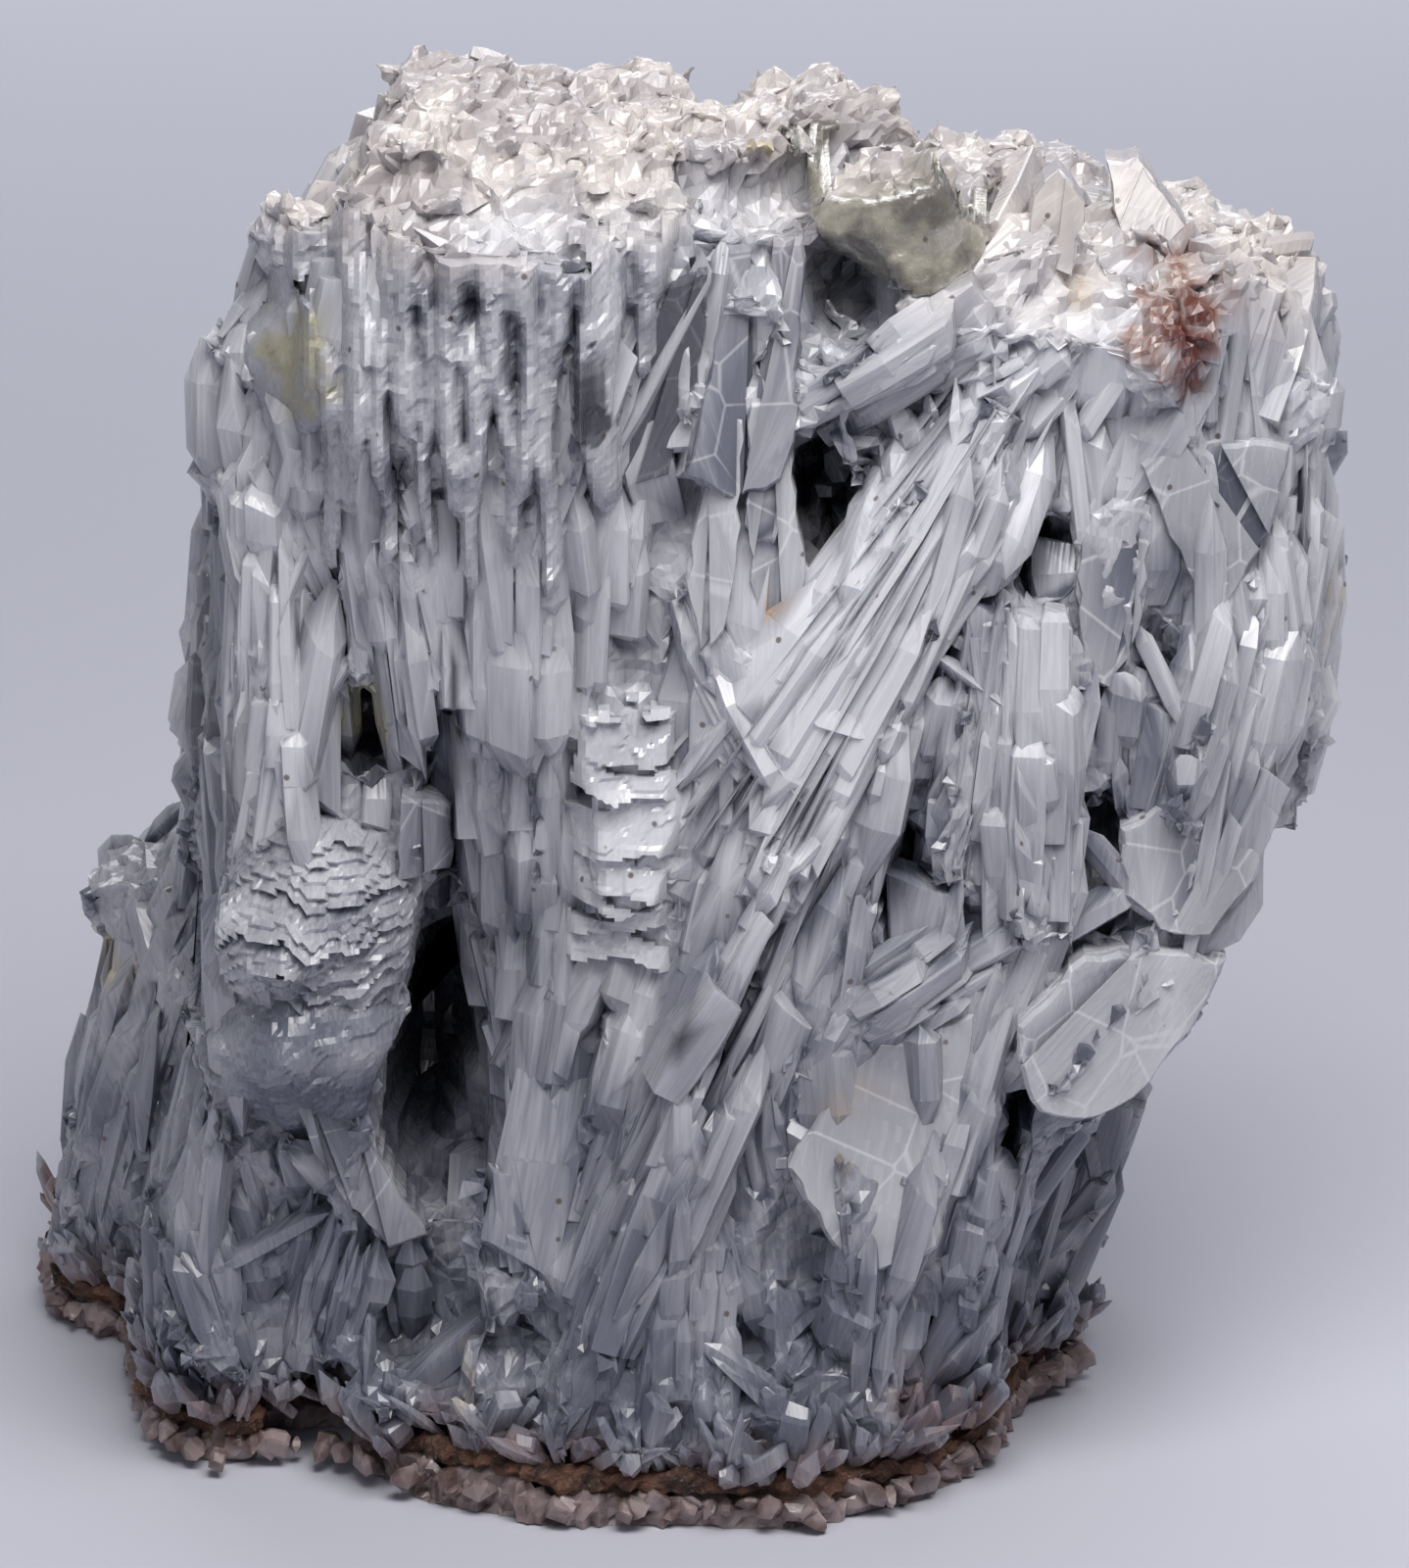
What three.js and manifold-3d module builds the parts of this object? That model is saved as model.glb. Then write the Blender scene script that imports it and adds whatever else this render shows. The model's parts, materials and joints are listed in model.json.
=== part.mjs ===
// A celestite cluster: a broken piece of a crystal vein, standing on the rock that it grew from.
//
// Units are millimetres, +Z is up, the front of the specimen faces -Y and +X is to its right. The
// origin is the middle of the footprint, on the floor.
//
// The crystal mass starts as five plain lobes, each a loft of rounded rings. Crystals are laid on the
// skin of the lobes in named bundles, and lumps of crust are set on top. Everything that grew together
// is joined in one solid. Below it come a thin wavy seam of rock and a thin layer of footwall crystals.

import * as THREE from 'three';
import { ConvexGeometry } from 'three/addons/geometries/ConvexGeometry.js';
import { mergeVertices } from 'three/addons/utils/BufferGeometryUtils.js';
import Module from 'manifold-3d';

// Driving dimensions. The frame shift brings the middle of the specimen's extents over the origin.

const FRAME_SHIFT = new THREE.Vector3(2.23, -4.52, 0);
const TOUCH_GAP = 0.3;
const SEAM_BASE_HEIGHT = 2.2;
const SEAM_THICKNESS = 1.6;
const SEAM_WAVE = 0.7;
const SEAM_WAVE_LENGTH = 34;
const BURIED = 2.6;
const SHOULDER = 0.78;
const BLADE_FILL = 0.93;
const RING_POINTS = 14;
const RING_SQUARENESS = 2.7;
const RING_ROUGHNESS = 0.5;

// Lobes of the crystal mass, as rings from the foot up. Each ring gives its height, its left, right,
// front and back edges, and how far its right edge lies below its left edge.

const CENTRE_LOBE = [
  { z: -1, left: -30, right: 25, front: -29, back: 35, drop: 0 },
  { z: 6, left: -28, right: 25, front: -29, back: 36, drop: 0 },
  { z: 14, left: -22, right: 25, front: -26.5, back: 36, drop: 0 },
  { z: 24, left: -20, right: 31, front: -24.5, back: 36, drop: 0 },
  { z: 34, left: -20, right: 40, front: -23.5, back: 36, drop: 0 },
  { z: 46, left: -20, right: 44, front: -21.5, back: 35, drop: 0 },
  { z: 60, left: -20, right: 47.5, front: -19.5, back: 34, drop: 0 },
  { z: 74, left: -21, right: 47.5, front: -16.5, back: 33, drop: 0 },
  { z: 87, left: -25, right: 46.5, front: -15.5, back: 31, drop: 4 },
  { z: 95, left: -25, right: 47.5, front: -19, back: 29, drop: 8 },
  { z: 101, left: -23, right: 45, front: -13, back: 24, drop: 10 },
];

const LEFT_LOBE = [
  { z: -1, left: -45, right: -20, front: -16, back: 22, drop: 0 },
  { z: 5, left: -46, right: -18, front: -17, back: 24, drop: 0 },
  { z: 16, left: -44, right: -18, front: -17, back: 22, drop: 0 },
  { z: 26, left: -40, right: -18, front: -17, back: 20, drop: 0 },
  { z: 35, left: -38, right: -18, front: -21, back: 18, drop: 0 },
  { z: 45, left: -38, right: -17, front: -21, back: 17, drop: 0 },
  { z: 54, left: -38, right: -16, front: -17, back: 17, drop: 0 },
  { z: 66, left: -36, right: -14, front: -16, back: 18, drop: 0 },
  { z: 79, left: -36, right: -12, front: -19, back: 18, drop: 0 },
  { z: 92, left: -31, right: -8, front: -23, back: 18, drop: 0 },
  { z: 101, left: -26, right: -6, front: -20, back: 16, drop: 2 },
  { z: 104, left: -23, right: -6, front: -14, back: 14, drop: 2 },
];

const REAR_LEFT_LOBE = [
  { z: -1, left: -53, right: -25, front: 8, back: 37, drop: 0 },
  { z: 5, left: -53, right: -22, front: 6, back: 38, drop: 0 },
  { z: 16, left: -51, right: -20, front: 4, back: 37, drop: 0 },
  { z: 28, left: -48, right: -18, front: 4, back: 35, drop: 0 },
  { z: 38, left: -45, right: -18, front: 6, back: 32, drop: 0 },
  { z: 45, left: -40, right: -20, front: 10, back: 27, drop: 0 },
];

const REAR_RIGHT_LOBE = [
  { z: -1, left: 5, right: 26, front: -12, back: 27, drop: 0 },
  { z: 6, left: 5, right: 28, front: -10, back: 28, drop: 0 },
  { z: 14, left: 5, right: 31, front: -7, back: 28, drop: 0 },
  { z: 22, left: 5, right: 32, front: -5, back: 27, drop: 0 },
  { z: 32, left: 5, right: 30, front: -2, back: 24, drop: 0 },
];

const TOP_LEFT_LOBE = [
  { z: 56, left: -26, right: -6, front: -18, back: 0, drop: 0 },
  { z: 68, left: -28, right: -3, front: -20, back: 4, drop: 0 },
  { z: 80, left: -31, right: -1, front: -23, back: 8, drop: 0 },
  { z: 92, left: -31, right: 0, front: -25, back: 12, drop: 0 },
  { z: 100, left: -27, right: 0, front: -22, back: 14, drop: 1 },
  { z: 104.5, left: -22, right: -3, front: -15, back: 13, drop: 1.5 },
];

// The deep crevice between the left lobe and the centre, which opens into a cavity lower down, and
// the notch under the crystals between the two feet. Each is an outline seen from the front.

const CREVICE = {
  outline: [[-17.8, 66], [-17.2, 58], [-18.6, 46], [-17.6, 38], [-16.8, 30], [-18.2, 20], [-23.6, 20],
    [-24, 31], [-21.2, 37.5], [-20.4, 46], [-18.8, 58]],
  front: -45,
  back: -7,
};

const FOOT_NOTCH = {
  outline: [[-35.5, -4], [-34, 3.5], [-31, 6.5], [-27, 5], [-25.5, -4]],
  front: -45,
  back: -9,
};

const RECESSES = [
  { outline: [[6.8, 96], [13.6, 95], [13, 89], [7, 87.5]], front: -40, back: -11 },
  { outline: [[7, 83], [10.8, 80], [11.2, 73], [7.4, 71.5]], front: -40, back: -12 },
  { outline: [[21.8, 74.8], [26.8, 74.6], [26.6, 69.8], [22, 69.6]], front: -40, back: -12 },
  { outline: [[27, 53], [31.5, 52], [31, 45], [28, 44]], front: -40, back: -15 },
  { outline: [[-27, 62.5], [-23.6, 61], [-23.8, 56.2], [-27.2, 56.4]], front: -40, back: -12 },
];

// Bundles of crystals. x and z say where a bundle starts, seen from its side of the specimen, lean
// is its direction in degrees from straight up towards the right, root and tip are its widths at the
// two ends, and proud is how far it stands out of the skin.

const FRONT_BUNDLES = [
  // Hanging blades and the smooth column of the upper left
  { x: -24, z: 100, lean: 183, length: 24, root: 7, tip: 9, blades: 3, proud: 2.4 },
  { x: -16, z: 99, lean: 180, length: 25, root: 8, tip: 8, blades: 2, proud: 2.8 },
  { x: -9, z: 98, lean: 184, length: 23, root: 5, tip: 5, blades: 1, proud: 3 },
  { x: -3.5, z: 98, lean: 178, length: 9, root: 3.4, tip: 3, blades: 1, proud: 2.8 },
  { x: -30.5, z: 93, lean: 184, length: 12, root: 6, tip: 7, blades: 2, proud: 2.6 },
  { x: -31, z: 83, lean: 182, length: 9, root: 6, tip: 7, blades: 2, proud: 2 },
  { x: -36, z: 80, lean: 184, length: 12, root: 4, tip: 4, blades: 1, proud: 1.6 },
  // Big blue plates and the diagonal bundle of the upper centre
  { x: 0.5, z: 100, lean: 180, length: 23, root: 12, tip: 10, blades: 2, proud: 1 },
  { x: 7, z: 83.5, lean: 56, length: 13, root: 6, tip: 5, blades: 2, proud: 3 },
  { x: 13.6, z: 75, lean: -26, length: 11, root: 3, tip: 5, blades: 1, proud: 2.4 },
  // Vertical blades, the white fan and the left arm of its V
  { x: 0.5, z: 65, lean: 4, length: 20, root: 4, tip: 4, blades: 1, proud: 3 },
  { x: 5, z: 85, lean: 180, length: 19, root: 5, tip: 3, blades: 1, proud: 3.2 },
  { x: 22.5, z: 85, lean: 211, length: 39, root: 5, tip: 15, blades: 4, proud: 4.6 },
  { x: -1.5, z: 71, lean: 153, length: 18, root: 4, tip: 7, blades: 2, proud: 3.2 },
  { x: 8, z: 55, lean: 205, length: 9, root: 7, tip: 5, blades: 2, proud: 3.6 },
  { x: 15, z: 66, lean: 192, length: 17, root: 4, tip: 4, blades: 1, proud: 3.4 },
  { x: -14, z: 79, lean: 181, length: 22, root: 9, tip: 8, blades: 3, proud: 2.6 },
  { x: -15, z: 60, lean: 178, length: 18, root: 8, tip: 6, blades: 2, proud: 2.6 },
  // Stepped cleavage terraces and the smooth panels beside them
  { x: -6, z: 62, lean: 180, length: 21, root: 8, tip: 7, blades: 2, proud: 3 },
  { x: 5.5, z: 51, lean: 203, length: 28, root: 4, tip: 3, blades: 1, proud: 3.6 },
  { x: 11, z: 38, lean: 58, length: 10, root: 6, tip: 5, blades: 1, proud: 3 },
  { x: 8, z: 33, lean: 18, length: 22, root: 7, tip: 5, blades: 2, proud: 2 },
  // Long prisms, panels and plates right of the centre
  { x: 25, z: 43.5, lean: 0, length: 26, root: 7, tip: 7, blades: 2, proud: 3.2 },
  { x: 18, z: 48, lean: 8, length: 22, root: 5, tip: 5, blades: 1, proud: 3 },
  { x: 22.5, z: 67, lean: 2, length: 14, root: 4, tip: 4, blades: 1, proud: 2 },
  { x: 30.5, z: 62, lean: 4, length: 18, root: 6, tip: 6, blades: 1, proud: 2.4 },
  { x: 38, z: 85, lean: 174, length: 16, root: 10, tip: 4, blades: 2, proud: 3 },
  { x: 40, z: 67, lean: 24, length: 12, root: 3, tip: 3, blades: 1, proud: 3.6 },
  { x: 44, z: 57, lean: 4, length: 22, root: 6, tip: 6, blades: 1, proud: 3 },
  { x: 37, z: 51, lean: 12, length: 17, root: 8, tip: 7, blades: 2, proud: 3 },
  { x: 33, z: 39, lean: 34, length: 16, root: 8, tip: 9, blades: 2, proud: 3.2 },
  { x: 26, z: 30, lean: 48, length: 18, root: 8, tip: 10, blades: 2, proud: 3.4 },
  // Slabs, hanging blades and the rosette of the left lobe
  { x: -33, z: 53, lean: 2, length: 19, root: 8, tip: 7, blades: 2, proud: 3 },
  { x: -25, z: 81, lean: 175, length: 25, root: 8, tip: 9, blades: 3, proud: 2.6 },
  { x: -40, z: 43, lean: 7, length: 26, root: 3.4, tip: 3.4, blades: 1, proud: 1.6 },
  { x: -21.5, z: 55, lean: 180, length: 8, root: 4, tip: 4, blades: 1, proud: 3 },
  { x: -34, z: 23, lean: -24, length: 12, root: 3, tip: 4, blades: 1, proud: 2.4 },
  { x: -27, z: 21, lean: -34, length: 11, root: 2.4, tip: 2.4, blades: 1, proud: 3 },
  { x: -25, z: 16, lean: 6, length: 16, root: 9, tip: 8, blades: 2, proud: 1.6 },
  { x: -21, z: 13, lean: -4, length: 11, root: 4, tip: 5, blades: 1, proud: 2.2 },
  { x: -36, z: 6, lean: -18, length: 15, root: 6, tip: 8, blades: 2, proud: 2.4 },
  { x: -29, z: 8, lean: 14, length: 12, root: 4, tip: 5, blades: 1, proud: 2.2 },
  // Lower centre, between the cavity and the great fan plate
  { x: -15.5, z: 13, lean: -13, length: 24, root: 4, tip: 4, blades: 1, proud: 2.6 },
  { x: -12, z: 15, lean: -8, length: 16, root: 4, tip: 4, blades: 1, proud: 3.4 },
  { x: -8.5, z: 13, lean: 24, length: 24, root: 5, tip: 6, blades: 2, proud: 3.6 },
  { x: -2, z: 9, lean: 2, length: 17, root: 5, tip: 6, blades: 1, proud: 2.6 },
  { x: 12, z: 14, lean: 8, length: 19, root: 4, tip: 13, blades: 3, proud: 3.4 },
  { x: 19.5, z: 13, lean: 12, length: 16, root: 4, tip: 5, blades: 1, proud: 2.8 },
];

// Small fans that radiate up from the rock seam, along the front foot

const FOOT_FANS = {
  from: -24,
  to: 21,
  count: 8,
  crystals: { z: 5, length: 10, root: 3, tip: 6, blades: 1, proud: 2.4 },
};

// The other sides carry rows of blades that lean as the front does. across and z are where a row
// starts, seen from that side.

const BACK_BUNDLES = [
  { x: -40, z: 60, lean: -8, length: 26, root: 8, tip: 9, blades: 1, proud: 3 },
  { x: -28, z: 70, lean: -14, length: 24, root: 8, tip: 10, blades: 2, proud: 3.4 },
  { x: -2, z: 72, lean: -10, length: 25, root: 8, tip: 11, blades: 2, proud: 3.6 },
  { x: 12, z: 66, lean: -18, length: 26, root: 7, tip: 9, blades: 1, proud: 3 },
  { x: -32, z: 44, lean: -20, length: 22, root: 7, tip: 9, blades: 2, proud: 3 },
  { x: -20, z: 40, lean: -8, length: 28, root: 8, tip: 10, blades: 1, proud: 3.8 },
  { x: 8, z: 38, lean: -12, length: 26, root: 8, tip: 9, blades: 2, proud: 3.4 },
  { x: 30, z: 22, lean: -6, length: 20, root: 9, tip: 8, blades: 2, proud: 2.6 },
  { x: 42, z: 10, lean: -10, length: 24, root: 9, tip: 7, blades: 1, proud: 2.4 },
  { x: -20, z: 8, lean: -12, length: 24, root: 8, tip: 9, blades: 2, proud: 2.6 },
  { x: 8, z: 8, lean: -8, length: 26, root: 8, tip: 9, blades: 2, proud: 2.8 },
  { x: 20, z: 8, lean: 4, length: 22, root: 8, tip: 9, blades: 1, proud: 3 },
];

const LEFT_BUNDLES = [
  { x: 12, z: 58, lean: 4, length: 26, root: 7, tip: 8, blades: 1, proud: 2.2 },
  { x: -6, z: 54, lean: 6, length: 28, root: 8, tip: 9, blades: 2, proud: 2.2 },
  { x: 8, z: 84, lean: 2, length: 16, root: 8, tip: 7, blades: 1, proud: 1.8 },
  { x: -3, z: 82, lean: -8, length: 17, root: 8, tip: 8, blades: 2, proud: 2.2 },
  { x: 12, z: 8, lean: 8, length: 24, root: 8, tip: 8, blades: 1, proud: 2 },
  { x: -14, z: 6, lean: 8, length: 24, root: 7, tip: 8, blades: 2, proud: 1.6 },
  { x: -24, z: 6, lean: 2, length: 27, root: 8, tip: 8, blades: 1, proud: 1.8 },
  { x: -33, z: 8, lean: 6, length: 24, root: 6, tip: 6, blades: 2, proud: 1.6 },
];

const RIGHT_BUNDLES = [
  { x: -10, z: 50, lean: 4, length: 26, root: 8, tip: 9, blades: 1, proud: 2.4 },
  { x: 2, z: 46, lean: -6, length: 28, root: 9, tip: 10, blades: 2, proud: 2.6 },
  { x: 14, z: 48, lean: 4, length: 28, root: 8, tip: 10, blades: 1, proud: 2.6 },
  { x: -6, z: 76, lean: 6, length: 16, root: 8, tip: 8, blades: 2, proud: 1.8 },
  { x: 8, z: 74, lean: -5, length: 17, root: 9, tip: 9, blades: 1, proud: 2.4 },
  { x: 0, z: 4, lean: 6, length: 22, root: 8, tip: 8, blades: 2, proud: 2 },
  { x: 12, z: 5, lean: -4, length: 24, root: 8, tip: 9, blades: 1, proud: 2.2 },
  { x: 23, z: 6, lean: 4, length: 22, root: 7, tip: 7, blades: 2, proud: 2 },
];

// Lumps: the crust on top, the scalloped left edge, the rosette and the clusters of the lower half.
// Each is a rough ball with its middle at x, y, z and its half-sizes along the three axes.

const LUMPS = [
  { x: -21, y: -10, z: 101.5, size: [7, 8, 5] },
  { x: -19, y: 5, z: 102.5, size: [8, 10, 4.5] },
  { x: -8, y: -8, z: 101.5, size: [8, 9, 4.6] },
  { x: -6, y: 8, z: 101, size: [9, 9, 4.6] },
  { x: 3, y: 0, z: 99.5, size: [8, 10, 5] },
  { x: 8, y: 14, z: 98.5, size: [9, 8, 5] },
  { x: 14.5, y: -8, z: 97.5, size: [7.4, 7.6, 6.4] },
  { x: 21, y: 6, z: 96, size: [8, 9, 4.6] },
  { x: 24.5, y: -8.5, z: 93.5, size: [6, 7, 5.4] },
  { x: 31, y: 0, z: 92, size: [8, 9, 5.4] },
  { x: 38, y: -6, z: 90, size: [7, 7, 6] },
  { x: 41.5, y: 5, z: 89.5, size: [7, 9, 5] },
  { x: 26, y: 17, z: 92, size: [10, 8, 5.4] },
  { x: 37, y: 17, z: 89, size: [8, 8, 5] },
  { x: 43.5, y: -5, z: 82, size: [5, 7, 7] },
  { x: 33, y: -14, z: 87.5, size: [6, 4.6, 6] },
  { x: -30.5, y: -12, z: 95.5, size: [4.6, 7, 5] },
  { x: -33, y: -11, z: 86.5, size: [4.6, 7, 6] },
  { x: -35, y: -9, z: 77, size: [3.8, 7, 6] },
  { x: -31, y: -17, z: 44, size: [8.6, 7, 5.4] },
  { x: -31, y: -17, z: 35, size: [8.2, 6, 5.6] },
  { x: -15, y: -24, z: 34, size: [4.2, 3.6, 5.6] },
  { x: -23, y: -20, z: 7.6, size: [5, 5, 3.4] },
  { x: -37, y: -13, z: 8.5, size: [5, 5, 3.6] },
  { x: 30.5, y: 1, z: 18, size: [3, 6, 7] },
  { x: -46, y: 20, z: 34, size: [5, 8, 7] },
  { x: -49.5, y: 24, z: 14, size: [4.6, 8, 8] },
];

const LUMP_POINTS = 11;

const { Manifold, Mesh: SolidMesh } = await loadSolids();

async function loadSolids() {
  const wasm = await Module();
  wasm.setup();
  return wasm;
}

// A repeatable source of small variations

function variation(seed) {
  let state = seed;
  return () => {
    state = (state * 16807) % 2147483647;
    return state / 2147483647;
  };
}

// Solids and back again

function toSolid(geometry) {
  const bare = geometry.clone();
  bare.deleteAttribute('normal');
  bare.deleteAttribute('uv');
  const merged = mergeVertices(bare);
  return new Manifold(new SolidMesh({
    numProp: 3,
    vertProperties: new Float32Array(merged.attributes.position.array),
    triVerts: new Uint32Array(merged.index.array),
  }));
}

function toGeometry(solid) {
  const mesh = solid.getMesh();
  const geometry = new THREE.BufferGeometry();
  geometry.setAttribute('position', new THREE.BufferAttribute(new Float32Array(mesh.vertProperties), 3));
  geometry.setIndex(largestShell(mesh.triVerts, mesh.numVert));
  geometry.computeVertexNormals();
  return geometry;
}

// The triangles of the largest connected shell. Where crystals cross, small sealed bubbles are left
// between them, and grown crystals have none.

function largestShell(triangles, vertexCount) {
  const parent = Array.from({ length: vertexCount }, (_, vertex) => vertex);
  const shellOf = (vertex) => {
    let top = vertex;
    while (parent[top] !== top) {
      parent[top] = parent[parent[top]];
      top = parent[top];
    }
    return top;
  };
  for (let corner = 0; corner < triangles.length; corner += 3) {
    parent[shellOf(triangles[corner])] = shellOf(triangles[corner + 1]);
    parent[shellOf(triangles[corner + 1])] = shellOf(triangles[corner + 2]);
  }
  const shells = new Map();
  for (let corner = 0; corner < triangles.length; corner += 3) {
    const shell = shellOf(triangles[corner]);
    if (!shells.has(shell)) {
      shells.set(shell, []);
    }
    shells.get(shell).push(triangles[corner], triangles[corner + 1], triangles[corner + 2]);
  }
  return [...shells.values()].reduce((most, next) => (next.length > most.length ? next : most));
}

// One lobe: a closed loft through its rings, with slightly uneven rounded-square rings

function ringPoint(ring, step, uneven) {
  const angle = (step / RING_POINTS) * 2 * Math.PI;
  const power = 2 / RING_SQUARENESS;
  const across = Math.sign(Math.cos(angle)) * Math.abs(Math.cos(angle)) ** power;
  const along = Math.sign(Math.sin(angle)) * Math.abs(Math.sin(angle)) ** power;
  const halfWidth = (ring.right - ring.left) / 2 + uneven;
  const halfDepth = (ring.back - ring.front) / 2 + uneven;
  const x = (ring.left + ring.right) / 2 + across * halfWidth;
  const y = (ring.front + ring.back) / 2 + along * halfDepth;
  return [x, y, ring.z - (ring.drop * (across + 1)) / 2];
}

function lobe(rings, seed) {
  const vary = variation(seed);
  const positions = [];
  for (const ring of rings) {
    for (let step = 0; step < RING_POINTS; step += 1) {
      positions.push(...ringPoint(ring, step, (vary() - 0.5) * 2 * RING_ROUGHNESS));
    }
  }
  const index = [];
  for (let level = 0; level + 1 < rings.length; level += 1) {
    for (let step = 0; step < RING_POINTS; step += 1) {
      const next = (step + 1) % RING_POINTS;
      const a = level * RING_POINTS + step;
      const b = level * RING_POINTS + next;
      index.push(a, b, b + RING_POINTS, a, b + RING_POINTS, a + RING_POINTS);
    }
  }
  const top = (rings.length - 1) * RING_POINTS;
  for (let step = 1; step + 1 < RING_POINTS; step += 1) {
    index.push(0, step + 1, step);
    index.push(top, top + step, top + step + 1);
  }
  const geometry = new THREE.BufferGeometry();
  geometry.setAttribute('position', new THREE.Float32BufferAttribute(positions, 3));
  geometry.setIndex(index);
  return geometry;
}

// The four sides that crystals are laid on: the direction that points out of the specimen, and the
// direction that is to the right for someone who looks at that side

const SIDES = {
  front: { out: new THREE.Vector3(0, -1, 0), right: new THREE.Vector3(1, 0, 0) },
  back: { out: new THREE.Vector3(0, 1, 0), right: new THREE.Vector3(-1, 0, 0) },
  left: { out: new THREE.Vector3(-1, 0, 0), right: new THREE.Vector3(0, -1, 0) },
  right: { out: new THREE.Vector3(1, 0, 0), right: new THREE.Vector3(0, 1, 0) },
};
const UP = new THREE.Vector3(0, 0, 1);
const FAR = 300;
const INWARD_STEPS = 20;
const INWARD_SHARE = 0.015;

// The point of the lobes' skin that is seen at (across, up) from one side. A place just beside the
// lobes is drawn in towards the middle of the foot, step by step, until it is on the skin.

function skinPoint(lobes, side, across, up) {
  for (let step = 0; step < INWARD_STEPS; step += 1) {
    const share = 1 - step * INWARD_SHARE;
    const from = new THREE.Vector3()
      .addScaledVector(side.right, across * share)
      .addScaledVector(UP, up * share)
      .addScaledVector(side.out, FAR);
    const hits = new THREE.Raycaster(from, side.out.clone().negate()).intersectObjects(lobes);
    if (hits.length > 0) {
      return hits[0].point;
    }
  }
  throw new Error(`no skin near ${across}, ${up}`);
}

// One crystal: a flat prism with sloping sides from root to tip, that narrows to a chisel edge

function crystal(root, tip, out, rootWidth, tipWidth, proud) {
  const along = tip.clone().sub(root);
  const length = along.length();
  along.normalize();
  const across = new THREE.Vector3().crossVectors(along, out).normalize();
  const outward = new THREE.Vector3().crossVectors(across, along).normalize();
  const place = (reach, side, level) => root.clone()
    .addScaledVector(along, length * reach)
    .addScaledVector(across, side)
    .addScaledVector(outward, level);
  const points = [];
  for (const [reach, width] of [[0, rootWidth], [SHOULDER, tipWidth]]) {
    points.push(place(reach, -0.5 * width, -BURIED), place(reach, 0.5 * width, -BURIED));
    points.push(place(reach, -0.38 * width, proud), place(reach, 0.34 * width, proud * 0.86));
  }
  points.push(place(1, -0.2 * tipWidth, -BURIED), place(1, 0.26 * tipWidth, -BURIED * 0.5));
  return new ConvexGeometry(points);
}

// A bundle of crystals, fanned from its root width to its tip width, each following the skin

function bundle(lobes, side, spec, vary) {
  const lean = THREE.MathUtils.degToRad(spec.lean);
  const crystals = [];
  for (let blade = 0; blade < spec.blades; blade += 1) {
    const place = (blade + 0.5) / spec.blades - 0.5;
    const reach = spec.length * (0.86 + 0.14 * vary());
    const rootSide = place * spec.root;
    const tipSide = place * spec.tip;
    const root = skinPoint(
      lobes,
      side,
      spec.x + rootSide * Math.cos(lean),
      spec.z - rootSide * Math.sin(lean),
    );
    const tip = skinPoint(
      lobes,
      side,
      spec.x + reach * Math.sin(lean) + tipSide * Math.cos(lean),
      spec.z + reach * Math.cos(lean) - tipSide * Math.sin(lean),
    );
    const middle = skinPoint(
      lobes,
      side,
      spec.x + (reach / 2) * Math.sin(lean) + ((rootSide + tipSide) / 2) * Math.cos(lean),
      spec.z + (reach / 2) * Math.cos(lean) - ((rootSide + tipSide) / 2) * Math.sin(lean),
    );
    const bulge = Math.max(0, middle.dot(side.out) - (root.dot(side.out) + tip.dot(side.out)) / 2);
    const widths = [spec.root, spec.tip].map((width) => (width / spec.blades) * BLADE_FILL);
    crystals.push(crystal(root, tip, side.out, ...widths, bulge + spec.proud * (0.75 + 0.25 * vary())));
  }
  return crystals;
}

// A lump: the hull of points spread evenly over a ball, then roughened and squashed

function lump(spec, vary) {
  const golden = Math.PI * (3 - Math.sqrt(5));
  const points = [];
  for (let step = 0; step < LUMP_POINTS; step += 1) {
    const height = 1 - (2 * (step + 0.5)) / LUMP_POINTS;
    const ring = Math.sqrt(1 - height * height);
    const turn = golden * step + vary() * 0.6;
    const reach = 0.86 + 0.28 * vary();
    points.push(new THREE.Vector3(
      spec.x + spec.size[0] * reach * ring * Math.cos(turn),
      spec.y + spec.size[1] * reach * ring * Math.sin(turn),
      spec.z + spec.size[2] * reach * height,
    ));
  }
  return new ConvexGeometry(points);
}

// A straight cut into the front, along Y

function frontCut({ outline, front, back }) {
  const shape = new THREE.Shape(outline.map(([x, z]) => new THREE.Vector2(x, z)));
  const geometry = new THREE.ExtrudeGeometry(shape, { depth: back - front, bevelEnabled: false });
  geometry.rotateX(Math.PI / 2);
  geometry.translate(0, back, 0);
  return geometry;
}

// The slab between two wavy surfaces, each a height above the floor plus the seam's wave

const SLAB_REACH = 80;
const SLAB_STEPS = 6;

function seamWave(x, y) {
  const turn = (2 * Math.PI) / SEAM_WAVE_LENGTH;
  return SEAM_WAVE * (Math.sin(x * turn) + Math.sin(y * turn * 0.8 + x * turn * 0.3));
}

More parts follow.
